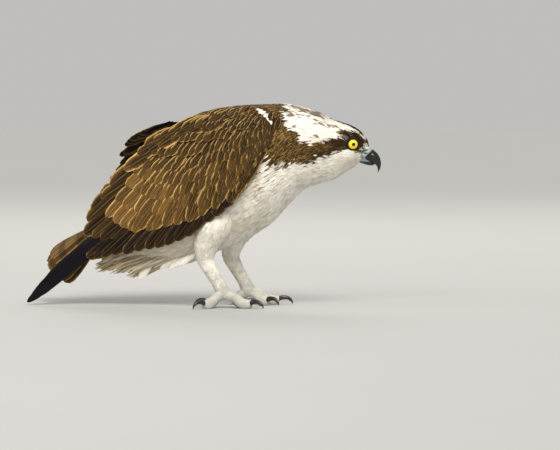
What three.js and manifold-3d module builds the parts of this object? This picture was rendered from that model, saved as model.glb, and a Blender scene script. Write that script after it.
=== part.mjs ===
// An osprey standing with its body level and its head stretched forward, at life size.
// Millimetres, +Z up, +X the way the bird faces, +Y its left. It stands on the plane Z = 0.
import * as THREE from "three";
import { mergeVertices } from "three/addons/utils/BufferGeometryUtils.js";
import Module from "manifold-3d";

const wasm = await Module();
wasm.setup();

// Driving sizes of the bird
const seam = 0.35; // gap that touching pieces keep
const headStart = 0.6; // place along the body's rails where the head begins
const neckStart = 0.43; // place where the neck begins
const cutHalf = 0.0015; // half the thin cut between head, neck and torso, along the rails
const footSpread = 37; // half the distance between the feet
const leftFootAhead = 21; // the left foot stands this far in front of the right one
const wristAt = { x: 85, z: 273 }; // bend of the right wing
const wingLength = 444; // wrist to the tip of the longest primary
const wingSlope = { along: 0.801, down: 0.599 }; // the folded wing's axis, back and down
const leftWingTurn = 5; // degrees that the left wing is turned nose down
const eyeRadius = 9.2;
const eyeAt = { x: 191.5, y: 19.5, z: 236.5 };
const tailRoot = { x: -100, z: 187 };
const tailTip = { x: -262, z: 54 };
const tailHalfWidth = 38;
const tailRoll = 42; // degrees that the tail is turned, right side down

// The body's outline seen from the side, from the tail's root to the forehead, with half widths
const bodyTop = [
  [-192, 116], [-150, 180], [-111, 229], [-67, 265], [-22, 283], [22, 290], [59, 292], [89, 292],
  [115, 288], [138, 281], [156, 273], [173, 267], [188, 262], [199, 255], [208, 245], [213, 232],
];
const bodyBottom = [
  [-180, 62], [-134, 58], [-90, 55], [-46, 65], [-2, 84], [36, 100], [69, 122], [97, 152],
  [116, 170], [142, 180], [161, 186], [178, 197], [188, 203], [197, 209], [205, 212], [210, 214],
];
const bodyHalfWidth = [13, 30, 42, 53, 61, 64, 62, 55, 46, 40, 35, 31, 28.5, 25, 18, 10];

const vec = (x, y, z) => new THREE.Vector3(x, y, z);
const lerp = THREE.MathUtils.lerp;
const radians = THREE.MathUtils.degToRad;

// Smooth curve through a list of plain numbers, read at u from 0 to 1
function track(values, u) {
  const curve = new THREE.CatmullRomCurve3(values.map((v, i) => vec(i, v, 0)));
  return curve.getPoint(THREE.MathUtils.clamp(u, 0, 1)).y;
}

// Smooth curve through points of the side view, held in x and z
function rail(points) {
  return new THREE.CatmullRomCurve3(points.map(([x, z]) => vec(x, 0, z)));
}

// A closed surface as a solid, turned so that its faces point out
function solidOf(points, faces) {
  const geometry = new THREE.BufferGeometry();
  geometry.setAttribute("position", new THREE.Float32BufferAttribute(points.flatMap((p) => p.toArray()), 3));
  geometry.setIndex(faces);
  const merged = mergeVertices(geometry, 1e-3);
  const make = (triVerts) => new wasm.Manifold(new wasm.Mesh({
    numProp: 3, vertProperties: merged.attributes.position.array, triVerts,
  }));
  const triVerts = new Uint32Array(merged.index.array);
  const solid = make(triVerts);
  if (solid.volume() > 0) return solid;
  for (let i = 0; i < triVerts.length; i += 3)
    [triVerts[i + 1], triVerts[i + 2]] = [triVerts[i + 2], triVerts[i + 1]];
  return make(triVerts);
}

// Rings of equal count joined in order, with a fan closing each end
function tubeOf(rings) {
  const sides = rings[0].length;
  const points = rings.flat();
  const faces = [];
  for (let i = 0; i + 1 < rings.length; i++)
    for (let j = 0; j < sides; j++) {
      const a = i * sides + j;
      const b = i * sides + ((j + 1) % sides);
      faces.push(a, b, b + sides, a, b + sides, a + sides);
    }
  const middle = (ring) => ring.reduce((sum, p) => sum.add(p), vec(0, 0, 0)).divideScalar(sides);
  const first = points.push(middle(rings[0])) - 1;
  const last = points.push(middle(rings[rings.length - 1])) - 1;
  const start = (rings.length - 1) * sides;
  for (let j = 0; j < sides; j++) {
    const k = (j + 1) % sides;
    faces.push(first, k, j, last, start + j, start + k);
  }
  return solidOf(points, faces);
}

// Two grids alike, an upper and a lower face, closed round the border
function slabOf(upper, lower) {
  const rows = upper.length;
  const columns = upper[0].length;
  const points = [...upper.flat(), ...lower.flat()];
  const below = rows * columns;
  const at = (i, j) => i * columns + j;
  const faces = [];
  for (let i = 0; i + 1 < rows; i++)
    for (let j = 0; j + 1 < columns; j++) {
      const [a, b, c, d] = [at(i, j), at(i, j + 1), at(i + 1, j + 1), at(i + 1, j)];
      faces.push(a, b, c, a, c, d);
      faces.push(below + a, below + c, below + b, below + a, below + d, below + c);
    }
  const border = [];
  for (let j = 0; j + 1 < columns; j++) border.push([at(0, j + 1), at(0, j)]);
  for (let i = 0; i + 1 < rows; i++) border.push([at(i, 0), at(i + 1, 0)]);
  for (let j = 0; j + 1 < columns; j++) border.push([at(rows - 1, j), at(rows - 1, j + 1)]);
  for (let i = rows - 1; i > 0; i--) border.push([at(i, columns - 1), at(i - 1, columns - 1)]);
  for (const [a, b] of border) faces.push(a, b, below + b, a, below + b, below + a);
  return solidOf(points, faces);
}

const joined = (solids) => wasm.Manifold.union(solids);
const without = (solid, ...others) => others.reduce((rest, other) => rest.subtract(other), solid);

// The largest of the closed bodies that a cut leaves
function largest(solid) {
  return solid.decompose().sort((a, b) => b.volume() - a.volume())[0];
}

// The body's section at a place on its rails, grown by a margin; it lies in the plane of the rails and Y
const topRail = rail(bodyTop);
const bottomRail = rail(bodyBottom);
function bodyRing(u, margin, sides) {
  const top = topRail.getPoint(u);
  const bottom = bottomRail.getPoint(u);
  const centre = top.clone().add(bottom).multiplyScalar(0.5);
  const up = top.clone().sub(bottom);
  const half = up.length() / 2 + margin;
  const wide = track(bodyHalfWidth, u) + margin;
  up.normalize();
  return Array.from({ length: sides }, (_, j) => {
    const angle = (j / sides) * 2 * Math.PI;
    return centre.clone()
      .addScaledVector(up, half * Math.cos(angle))
      .add(vec(0, wide * Math.sin(angle) * (1 - 0.08 * Math.cos(angle)), 0));
  });
}

// A length of the body between two places on its rails
function bodyLength(from, to, steps, margin, sides) {
  const places = Array.from({ length: steps + 1 }, (_, i) => lerp(from, to, i / steps));
  return tubeOf(places.map((u) => bodyRing(u, margin, sides)));
}

// A round piece along a curve, with a radius at each point; squash flattens it sideways
function limb(points, radii, { steps = 8, sides = 10, margin = 0, squash = 1 } = {}) {
  const curve = new THREE.CatmullRomCurve3(points);
  const side = vec(0, 0, 1).cross(curve.getTangent(0.5)).normalize();
  return tubeOf(Array.from({ length: steps + 1 }, (_, i) => {
    const u = i / steps;
    const centre = curve.getPoint(u);
    const tangent = curve.getTangent(u);
    const across = side.clone().addScaledVector(tangent, -side.dot(tangent)).normalize();
    const over = tangent.clone().cross(across).normalize();
    const radius = track(radii, u) + margin;
    return Array.from({ length: sides }, (_, j) => {
      const angle = ((j + 0.5) / sides) * 2 * Math.PI;
      return centre.clone()
        .addScaledVector(across, radius * squash * Math.cos(angle))
        .addScaledVector(over, radius * Math.sin(angle));
    });
  }));
}

// A piece between an upper and a lower line of the side view, with half widths: bills, cere
function profilePiece(upper, lower, widths, { steps = 8, sides = 12, margin = 0 } = {}) {
  const top = rail(upper);
  const bottom = rail(lower);
  return tubeOf(Array.from({ length: steps + 1 }, (_, i) => {
    const u = i / steps;
    const high = top.getPoint(u);
    const low = bottom.getPoint(u);
    const centre = high.clone().add(low).multiplyScalar(0.5);
    const up = high.sub(low).multiplyScalar(0.5);
    const half = up.length() + margin;
    up.normalize();
    const wide = track(widths, u) + margin;
    return Array.from({ length: sides }, (_, j) => {
      const angle = (j / sides) * 2 * Math.PI;
      return centre.clone()
        .addScaledVector(up, half * Math.cos(angle))
        .add(vec(0, wide * Math.sin(angle), 0));
    });
  }));
}

// A round ball
function ball(centre, radius, detail) {
  const sphere = new THREE.IcosahedronGeometry(radius, detail).translate(centre.x, centre.y, centre.z);
  return fromGeometry(sphere);
}

// A closed three.js geometry as a solid
function fromGeometry(geometry) {
  const plain = geometry.clone();
  plain.deleteAttribute("normal");
  plain.deleteAttribute("uv");
  const merged = mergeVertices(plain, 1e-3);
  return new wasm.Manifold(new wasm.Mesh({
    numProp: 3,
    vertProperties: new Float32Array(merged.attributes.position.array),
    triVerts: new Uint32Array(merged.index.array),
  }));
}

// Head, neck and torso
const gaze = radians(24); // how far forward the eyes look from straight sideways
const eyeCentre = (side) => vec(eyeAt.x, side * eyeAt.y, eyeAt.z);
const lid = { radius: eyeRadius - 1.3, thick: 1.5, forward: 4.7 };

// The rim of lids round an eye, a ring that faces the way the eye looks
function lids(side) {
  const ahead = vec(Math.sin(gaze), side * Math.cos(gaze), 0);
  const ring = new THREE.TorusGeometry(lid.radius, lid.thick, 4, 12);
  ring.lookAt(ahead);
  const out = eyeCentre(side).addScaledVector(ahead, lid.forward);
  return fromGeometry(ring.translate(out.x, out.y, out.z));
}

// The brow that shades an eye, from the lore back over it
const browLine = [[202, 12, 241], [196, 21.2, 246.5], [187, 21.7, 248], [176, 22, 246]];
const browRadii = [2.4, 3.6, 3.8, 2];
function brow(side) {
  return limb(browLine.map(([x, y, z]) => vec(x, side * y, z)), browRadii, { steps: 5, sides: 6 });
}

const cereTop = [[200, 232], [209, 231.5], [217.6, 228.6]];
const cereBottom = [[198, 213.6], [208, 211.6], [217.2, 209.6]];
const cereWidth = [11, 9.4, 7.4];
const cereWhole = (margin) => profilePiece(cereTop, cereBottom, cereWidth, { steps: 4, sides: 14, margin });

const upperBillTop = [
  [218, 228.4], [224, 223.6], [228.4, 216.5], [230, 208.8], [228.9, 201.6], [225.2, 195.2],
];
const upperBillBottom = [
  [217.6, 209.4], [220.6, 208], [223.4, 205.6], [224.9, 202.4], [225.3, 198.8], [224.7, 195.6],
];
const upperBillWidth = [7, 6, 4.6, 3.2, 1.9, 0.5];

const lowerBillTop = [[190, 216], [203, 215], [212, 213.4], [220.4, 210.4]];
const lowerBillBottom = [[190, 206], [203, 205.4], [212, 204.8], [219, 205.2]];
const lowerBillWidth = [8.5, 7.6, 6, 2.4];
const lowerBillWhole = (margin) =>
  profilePiece(lowerBillTop, lowerBillBottom, lowerBillWidth, { steps: 5, sides: 10, margin });

function makeHead() {
  const skull = bodyLength(headStart + cutHalf, 1, 12, 0, 20);
  const whole = joined([skull, ...[1, -1].flatMap((side) => [lids(side), brow(side)])]);
  const eyes = [1, -1].map((side) => ball(eyeCentre(side), eyeRadius + seam, 2));
  return largest(without(whole, ...eyes, cereWhole(seam), lowerBillWhole(seam)));
}

const nostrilLine = [[209.5, 5, 222.5], [210.5, 13, 224.5]];
const nostrilRadius = 1.7;
function makeCere() {
  const radii = [nostrilRadius, nostrilRadius];
  const nostrils = [1, -1].map((side) => limb(
    nostrilLine.map(([x, y, z]) => vec(x, side * y, z)), radii, { steps: 2, sides: 6 },
  ));
  return largest(without(cereWhole(0), ...nostrils));
}

const upperBillWhole = (margin) =>
  profilePiece(upperBillTop, upperBillBottom, upperBillWidth, { steps: 10, sides: 12, margin });

function makeLowerBill() {
  return largest(without(lowerBillWhole(0), upperBillWhole(seam), cereWhole(seam)));
}

// The torso as it is met by the pieces on it
const torsoWhole = (margin) => bodyLength(0, neckStart - cutHalf, 13, margin, 22);
const neckWhole = (margin) => bodyLength(neckStart + cutHalf, headStart - cutHalf, 5, margin, 22);

// Legs: a feathered thigh, a bare shank with the foot's base, four toes and their claws
const legs = {
  right: { side: -1, ahead: 0 },
  left: { side: 1, ahead: leftFootAhead },
};
const toeKinds = [
  { name: "inner", turn: 24, length: 34, thick: 6.6 },
  { name: "middle", turn: -14, length: 44, thick: 6.8 },
  { name: "outer", turn: -128, length: 36, thick: 6.4 },
  { name: "hind", turn: 166, length: 27, thick: 6.6 },
];

const thighLine = [
  [4, footSpread - 3, 152], [-6, footSpread + 3, 122], [-18, footSpread + 3, 94], [-20, footSpread, 66],
];
const thighRadii = [27, 27, 19, 11.5];
function thigh({ side, ahead }, margin) {
  const line = thighLine.map(([x, y, z]) => vec(x + ahead, side * y, z));
  return limb(line, thighRadii, { steps: 7, sides: 14, margin });
}

const footBase = ({ side, ahead }) => vec(6 + ahead, side * footSpread, 21);
const shankLine = [[-21, 76], [-14, 56], [-2, 36], [6, 21], [10, 14.5]];
const shankRadii = [9.5, 9.6, 9, 10.4, 8];

function shank({ side, ahead }, margin) {
  const line = shankLine.map(([x, z]) => vec(x + ahead, side * footSpread, z));
  return limb(line, shankRadii, { steps: 8, sides: 12, margin });
}

// A toe runs out from the foot's base, arched, and lies on a small flat near its end
function toeCurve(leg, kind) {
  const base = footBase(leg);
  const heading = radians(kind.turn) * -leg.side;
  const out = vec(Math.cos(heading), Math.sin(heading), 0);
  const at = (share, height) => vec(base.x, base.y, height).addScaledVector(out, kind.length * share);
  return { out, at };
}

function toe(leg, kind, margin) {
  const { at } = toeCurve(leg, kind);
  const r = kind.thick;
  return limb(
    [at(0.12, 18.5), at(0.42, 14.5), at(0.72, r), at(1, r - 0.5)],
    [r + 0.6, r + 0.2, r + 0.7, r - 0.6],
    { steps: 5, sides: 8, margin },
  );
}

// A claw hooks down from the end of its toe: forward of the toe's end, and height
const clawLine = [[-3, 7], [5, 10], [13, 9.4], [18.6, 5], [20.2, 0.9]];
const clawRadii = [3.5, 3.4, 2.7, 1.7, 0.5];
function claw(leg, kind) {
  const { out, at } = toeCurve(leg, kind);
  const line = clawLine.map(([forward, height]) => at(1, height).addScaledVector(out, forward));
  return limb(line, clawRadii, { steps: 6, sides: 6 });
}

const underground = fromGeometry(new THREE.BoxGeometry(900, 500, 40).translate(0, 0, -20));

// The folded wing's outer face. Along runs from wrist to tip, across from its lower to its upper edge,
// both in millimetres; the lists hold the edges and how far each stands from the middle of the bird.
const wingUpperEdge = [10, 22, 52, 76, 88, 92, 88, 78, 66, 52, 36, 26, 18, 10, 2];
const wingLowerEdge = [-8, -18, -32, -46, -57, -59, -58, -54, -38, -24, -16, -11, -8, -4, -2];
const wingUpperSide = [40, 36, 28, 20, 15, 13, 13, 16, 22, 29, 33, 35, 36, 37, 37];
const wingLowerSide = [45, 60, 70, 72, 71, 69, 65, 60, 54, 49, 46, 44, 43, 42, 41];
const wingBulge = [0, 5, 9, 13, 16, 17, 15, 12, 8, 5, 3, 2, 1, 0, 0];

function wingPoint(wing, along, across, lift) {
  const u = along / wingLength;
  const low = track(wingLowerEdge, u);
  const high = track(wingUpperEdge, u);
  const share = (across - low) / Math.max(high - low, 12);
  const q = THREE.MathUtils.clamp(share, -0.3, 1.3);
  const y = lerp(track(wingLowerSide, u), track(wingUpperSide, u), q) + track(wingBulge, u) * 4 * q * (1 - q);
  const x = wristAt.x - wingSlope.along * along - wingSlope.down * across;
  const z = wristAt.z - wingSlope.down * along + wingSlope.along * across;
  const slant = 0.35 * (q - 0.35); // the face turns up towards the back
  const place = vec(x - wristAt.x, 0, z - wristAt.z).applyAxisAngle(vec(0, 1, 0), radians(wing.turn));
  return vec(
    wing.ahead + wristAt.x + place.x - wingSlope.down * slant * lift,
    wing.side * (y + lift),
    wing.raise + wristAt.z + place.z + wingSlope.along * slant * lift,
  );
}

const wings = {
  right: { side: -1, turn: 0, ahead: 0, raise: 0 },
  left: { side: 1, turn: leftWingTurn, ahead: 12, raise: -4 },
};

// Rows of feathers on the wing. Tips and sizes run from the front lower end of a row to its back upper end;
// angle is how far a feather leans from the wing's axis towards its lower edge.
const rows = [
  {
    count: 6, lift: 0.4, angle: [2, 2], length: [150, 200], width: [21, 22], thick: 1.4, point: 0.14,
    tips: [[350, -9], [384, -8], [414, -4], [444, 0], [418, 8], [384, 18]],
  },
  {
    count: 9, lift: 1.4, angle: [32, 4], length: [66, 92], width: [26, 26], thick: 1.4,
    tips: [[84, -46], [112, -56], [154, -59], [200, -58], [240, -52], [276, -36], [318, -20]],
  },
  {
    count: 4, lift: 2.8, angle: [4, -2], length: [92, 110], width: [24, 24], thick: 1.4,
    tips: [[310, 16], [328, 36], [306, 52], [268, 66]],
  },
  {
    count: 8, lift: 3.6, angle: [44, 6], length: [50, 62], width: [24, 24], thick: 1.4,
    tips: [[108, -46], [140, -51], [176, -49], [202, -38], [234, -24], [262, -6], [276, 14], [288, 36]],
  },
  {
    count: 8, lift: 5, angle: [42, 4], length: [42, 48], width: [21, 21], thick: 1.4,
    tips: [[78, -34], [110, -31], [150, -20], [186, -9], [212, 6], [226, 32], [232, 56]],
  },
  {
    count: 7, lift: 6.2, angle: [44, 2], length: [38, 44], width: [18, 18], thick: 1.4,
    tips: [[54, -18], [78, -12], [112, 6], [150, 28], [186, 50], [202, 70]],
  },
  {
    count: 5, lift: 7.2, angle: [40, 0], length: [34, 46], width: [17, 17], thick: 1.4,
    tips: [[40, -6], [62, 8], [92, 26], [126, 46], [160, 66]],
  },
  {
    count: 4, lift: 6.4, angle: [-8, -4], length: [62, 80], width: [23, 25], thick: 1.6,
    tips: [[118, 54], [154, 66], [190, 72], [226, 72]],
  },
];

const quillDepth = 1.5; // how deep a feather's root is sunk in the wing
const longFeather = 80; // feathers longer than this bend with the wing in one more place

// One feather of a row, from the point where its quill is sunk in the wing out to its tip
function wingVane(wing, row, share) {
  const tipCurve = new THREE.CatmullRomCurve3(row.tips.map(([a, b]) => vec(a, b, 0)));
  const tip = tipCurve.getPoint(share);
  const lean = radians(lerp(...row.angle, share));
  const along = vec(Math.cos(lean), -Math.sin(lean), 0);
  const across = vec(Math.sin(lean), Math.cos(lean), 0);
  const length = lerp(...row.length, share);
  const half = lerp(...row.width, share) / 2;
  const tipWidth = row.point ?? 0.36;
  const shape = length > longFeather
    ? [[0, 0.4], [0.4, 0.94], [0.8, 0.95], [1, tipWidth]]
    : [[0, 0.5], [0.72, 0.97], [1, tipWidth]];
  const grid = (extra) => shape.map(([s, broad]) => {
    const middle = tip.clone().addScaledVector(along, (s - 1) * length);
    const rise = lerp(-quillDepth, row.lift, Math.min(1, s * 1.6));
    return [-1, 0, 1].map((edge) => {
      const at = middle.clone().addScaledVector(across, edge * half * broad);
      const shingle = edge * 0.5 * Math.min(1, s * 2) - (edge ? 0.3 : 0);
      return wingPoint(wing, at.x, at.y, rise + shingle + extra);
    });
  });
  return slabOf(grid(row.thick / 2), grid(-row.thick / 2));
}

// The arm of the wing under the coverts, thick at the shoulder and thin where only feathers are
const arm = { start: 0.012, reach: 0.66, wristRound: 0.08, shoulder: 17, end: 2.4, bulge: 2.2 };
function wingCore(wing) {
  const stepsAlong = 10;
  const stepsAcross = 4;
  const grid = (inner) => Array.from({ length: stepsAlong + 1 }, (_, i) => {
    const u = lerp(arm.start, arm.reach, i / stepsAlong);
    const low = track(wingLowerEdge, u);
    const high = track(wingUpperEdge, u);
    const wristEnd = Math.sqrt(Math.min(1, u / arm.wristRound));
    const thick = lerp(arm.shoulder, arm.end, (u / arm.reach) ** 0.6) * wristEnd;
    return Array.from({ length: stepsAcross + 1 }, (_, j) => {
      const q = lerp(0.1, 0.93, j / stepsAcross);
      const edge = 1 - Math.abs(2 * q - 1) ** 3;
      const lift = inner ? -1 - thick * (0.35 + 0.65 * edge) : lerp(-0.5, arm.bulge * (1 - u), edge);
      return wingPoint(wing, u * wingLength, lerp(low, high, q), lift);
    });
  });
  return slabOf(grid(false), grid(true));
}

function makeWing(wing, leg) {
  const vanes = rows.flatMap((row) =>
    Array.from({ length: row.count }, (_, i) => wingVane(wing, row, i / (row.count - 1))));
  const whole = joined([wingCore(wing), ...vanes]);
  return largest(without(whole, torsoWhole(seam), neckWhole(seam), tailWhole(seam), thigh(leg, seam)));
}

// The tail: twelve overlapping feathers on a short wedge, turned about its own axis
const tailFeather = { count: 12, half: 10.5, thick: 1.4, step: 1.1, droop: 0.004 };
const tailLength = Math.hypot(tailTip.x - tailRoot.x, tailTip.z - tailRoot.z);
function tailPoint(along, across, lift) {
  const back = vec(tailTip.x - tailRoot.x, 0, tailTip.z - tailRoot.z).normalize();
  const roll = radians(tailRoll) * THREE.MathUtils.smoothstep(along, 20, tailLength);
  const up = vec(0, 1, 0).cross(back).normalize().applyAxisAngle(back, -roll);
  const side = back.clone().cross(up).normalize();
  const droop = -tailFeather.droop * across * across;
  return vec(tailRoot.x, 0, tailRoot.z)
    .addScaledVector(back, along)
    .addScaledVector(side, across)
    .addScaledVector(up, lift + droop);
}

function tailVane(index, margin) {
  const middle = (tailFeather.count - 1) / 2;
  const share = index / middle - 1; // -1 on one side to 1 on the other
  const spread = share * tailHalfWidth * 0.72;
  const length = tailLength - 3 * share * share;
  const shape = [[0.1, 0.35, 0.25], [0.55, 0.9, 0.66], [0.94, 0.95, 0.98], [1, 0.45, 1]];
  const level = tailFeather.step * (middle - Math.abs(index - middle)) - 3;
  const grid = (face) => shape.map(([s, broad, fan]) => [-1, 0, 1].map((edge) => {
    const half = tailFeather.half * broad + margin;
    const tilt = edge * Math.sign(share) * -0.5;
    return tailPoint(s * length + (s === 1 ? margin : 0), spread * fan + edge * half,
      level * fan + tilt + face * (tailFeather.thick / 2 + margin));
  }));
  return slabOf(grid(1), grid(-1));
}

function tailWhole(margin) {
  const wedge = limb(
    [tailPoint(0, 0, -5), tailPoint(tailLength * 0.3, 0, -2), tailPoint(tailLength * 0.55, 0, 0)],
    [17, 11, 3.5],
    { steps: 5, sides: 12, margin, squash: 1.25 },
  );
  return joined([wedge, ...Array.from({ length: tailFeather.count }, (_, i) => tailVane(i, margin))]);
}

// Materials of the bird's parts
const finish = (color, roughness) => new THREE.MeshStandardMaterial({ color, roughness, metalness: 0 });
const finishes = {
  brown: finish(0x4a3218, 0.8),
  white: finish(0xe9e4d2, 0.85),
  horn: finish(0x1c1b20, 0.3),
  cere: finish(0x8aa0a8, 0.5),
  eye: finish(0xf5c80c, 0.1),
  skin: finish(0xc9d2c8, 0.6),
};

// A solid as a named mesh
function meshOf(name, solid, material) {
  const { vertProperties, triVerts } = solid.getMesh();
  const geometry = new THREE.BufferGeometry();
  geometry.setAttribute("position", new THREE.BufferAttribute(vertProperties, 3));
  geometry.setIndex(new THREE.BufferAttribute(triVerts, 1));
  geometry.computeVertexNormals();
  const mesh = new THREE.Mesh(geometry, material);
  mesh.name = name;
  return mesh;
}

function makeLeg(name, leg) {
  const thighSolid = largest(without(thigh(leg, 0), torsoWhole(seam)));
  const shankSolid = largest(without(shank(leg, 0), thigh(leg, seam), underground));
  const group = new THREE.Group();
  group.add(meshOf(`thigh_${name}`, thighSolid, finishes.white));
  group.add(meshOf(`shank_${name}`, shankSolid, finishes.skin));
  const others = [];
  for (const kind of toeKinds) {
    const cut = without(toe(leg, kind, 0), shank(leg, seam), underground, ...others);
    group.add(meshOf(`toe_${kind.name}_${name}`, largest(cut), finishes.skin));
    others.push(toe(leg, kind, seam));
    const hook = largest(without(claw(leg, kind), toe(leg, kind, seam), underground));
    group.add(meshOf(`claw_${kind.name}_${name}`, hook, finishes.horn));
  }
  return group;
}

const osprey = new THREE.Group();
osprey.add(meshOf("torso", torsoWhole(0), finishes.white));
osprey.add(meshOf("neck", neckWhole(0), finishes.white));
osprey.add(meshOf("head", makeHead(), finishes.white));
osprey.add(meshOf("cere", makeCere(), finishes.cere));
osprey.add(meshOf("bill_upper", upperBillWhole(0), finishes.horn));
osprey.add(meshOf("bill_lower", makeLowerBill(), finishes.horn));
osprey.add(meshOf("eye_right", ball(eyeCentre(-1), eyeRadius, 2), finishes.eye));
osprey.add(meshOf("eye_left", ball(eyeCentre(1), eyeRadius, 2), finishes.eye));
osprey.add(meshOf("tail", largest(without(tailWhole(0), torsoWhole(seam))), finishes.brown));
for (const [name, leg] of Object.entries(legs)) osprey.add(makeLeg(name, leg));
for (const [name, wing] of Object.entries(wings))
  osprey.add(meshOf(`wing_${name}`, makeWing(wing, legs[name]), finishes.brown));

// The origin lies on the ground under the middle of the bird
const box = new THREE.Box3().setFromObject(osprey);
osprey.position.set(-(box.min.x + box.max.x) / 2, -(box.min.y + box.max.y) / 2, 0);

export default osprey;
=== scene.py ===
import math
import bpy
import numpy as np
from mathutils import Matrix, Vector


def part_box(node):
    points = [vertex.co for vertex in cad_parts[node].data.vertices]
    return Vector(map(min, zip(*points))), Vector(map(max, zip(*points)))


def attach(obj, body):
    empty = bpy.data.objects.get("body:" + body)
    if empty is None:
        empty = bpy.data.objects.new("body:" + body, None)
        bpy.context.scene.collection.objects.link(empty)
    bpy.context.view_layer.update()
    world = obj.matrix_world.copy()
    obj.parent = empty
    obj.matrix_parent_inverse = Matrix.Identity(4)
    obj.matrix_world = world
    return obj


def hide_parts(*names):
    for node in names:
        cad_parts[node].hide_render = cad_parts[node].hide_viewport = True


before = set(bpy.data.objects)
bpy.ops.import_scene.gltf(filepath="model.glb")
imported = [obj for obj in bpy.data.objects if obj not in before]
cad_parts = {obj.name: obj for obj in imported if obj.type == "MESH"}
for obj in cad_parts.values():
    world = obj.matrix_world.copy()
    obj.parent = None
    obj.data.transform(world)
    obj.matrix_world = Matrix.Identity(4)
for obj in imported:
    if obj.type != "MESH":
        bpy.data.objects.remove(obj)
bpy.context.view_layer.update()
mm = 0.001
rng = np.random.default_rng(27)

# The bird in its own millimetres: +X the way it faces, +Y its left, standing on Z = 0
bird = {
    "eye": (191.5, 19.5, 236.5), "eyeRadius": 9.2, "gazeDegrees": 24.0,
    "footSpread": 37.0, "leftFootAhead": 21.0, "headStart": 0.6,
    "top": [
        (-192, 116), (-150, 180), (-111, 229), (-67, 265), (-22, 283), (22, 290), (59, 292), (89, 292),
        (115, 288), (138, 281), (156, 273), (173, 267), (188, 262), (199, 255), (208, 245), (213, 232)],
    "bottom": [
        (-180, 62), (-134, 58), (-90, 55), (-46, 65), (-2, 84), (36, 100), (69, 122), (97, 152),
        (116, 170), (142, 180), (161, 186), (178, 197), (188, 203), (197, 209), (205, 212), (210, 214)],
    "halfWidth": [13, 30, 42, 53, 61, 64, 62, 55, 46, 40, 35, 31, 28.5, 25, 18, 10],
}


# Middle of a node's box, in metres
def middleOf(node):
    low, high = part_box(node)
    return (np.array(low) + np.array(high)) / 2


# Where the bird's own origin lies in the frame: between the eyes, less the eyes' place
betweenEyes = (middleOf("eye_right") + middleOf("eye_left")) / 2 / mm
offset = betweenEyes - np.array([bird["eye"][0], 0, bird["eye"][2]])
print("frame loaded, the bird's origin lies at", offset.round(2))


# 0 below low, 1 above high, a cubic between
def smooth(low, high, x):
    t = np.clip((x - low) / (high - low), 0, 1)
    return t * t * (3 - 2 * t)


# Curve through points, read at u from 0 to 1. Each span is a cubic whose end slopes come from its
# neighbours, weighted by the square roots of the chords, which is how the solids' rails are made.
def curveThrough(points, u):
    p = np.asarray(points, float)
    n = len(p)
    place = np.clip(np.asarray(u, float), 0, 1) * (n - 1)
    i = np.minimum(place.astype(int), n - 2)
    w = (place - i)[..., None]
    padded = np.vstack([2 * p[0] - p[1], p, 2 * p[-1] - p[-2]])
    a, b, c, d = (padded[i + k] for k in range(4))
    root = lambda x, y: np.maximum(np.linalg.norm(y - x, axis=-1, keepdims=True), 1e-4) ** 0.5
    g0, g1, g2 = root(a, b), root(b, c), root(c, d)
    m1 = ((b - a) / g0 - (c - a) / (g0 + g1) + (c - b) / g1) * g1
    m2 = ((c - b) / g1 - (d - b) / (g1 + g2) + (d - c) / g2) * g1
    return b + m1 * w + (3 * (c - b) - 2 * m1 - m2) * w ** 2 + (2 * (b - c) + m1 + m2) * w ** 3


# Smooth curve through plain numbers that stand one unit apart
def track(values, u):
    points = np.stack([np.arange(len(values)), np.asarray(values, float)], 1)
    return curveThrough(points, u)[..., 1]


# Vectors divided by their own lengths
def unit(v):
    return v / np.maximum(np.linalg.norm(v, axis=-1, keepdims=True), 1e-9)


# A straight blend from a to b by a share that may be an array
def mix(a, b, share):
    return a + (b - a) * np.asarray(share)[..., None]


# The value a share of the way from a pair's first number to its second
def between(pair, share):
    return pair[0] + (pair[1] - pair[0]) * share


# Points with their y taken to the left side, so that one shape serves both sides
def folded(points):
    return np.stack([points[..., 0], np.abs(points[..., 1]), points[..., 2]], -1)


# Distance from a place on the left side, or from its mirror image on the right
def awayFrom(points, place):
    return np.linalg.norm(folded(points) - np.array(place), axis=-1)


# Distance from the nearest of a line's points
def awayFromLine(points, line):
    return np.min(np.linalg.norm(points[..., None, :] - line, axis=-1), axis=-1)


# Starts at a share of 1 and grows to 1 between low and high
def growing(start, low, high, x):
    return start + (1 - start) * smooth(low, high, x)


# Smooth noise in -1..1: random numbers on a cubic lattice, blended by smoothstep between its corners
def wobble(points, size, seed):
    g = np.asarray(points) / size
    cell = np.floor(g).astype(np.int64)
    f = g - cell
    f = f * f * (3 - 2 * f)
    total = 0
    for corner in np.ndindex(2, 2, 2):
        c = cell + np.array(corner)
        h = (c[..., 0] * 73856093) ^ (c[..., 1] * 19349663) ^ (c[..., 2] * 83492791) ^ (seed * 26544357)
        h = (h ^ (h >> 13)) * 1274126177 & 0xFFFFFFFF
        value = ((h ^ (h >> 16)) & 0xFFFF) / 32767.5 - 1
        total = total + value * np.prod(np.where(np.array(corner) == 1, f, 1 - f), axis=-1)
    return total


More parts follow.
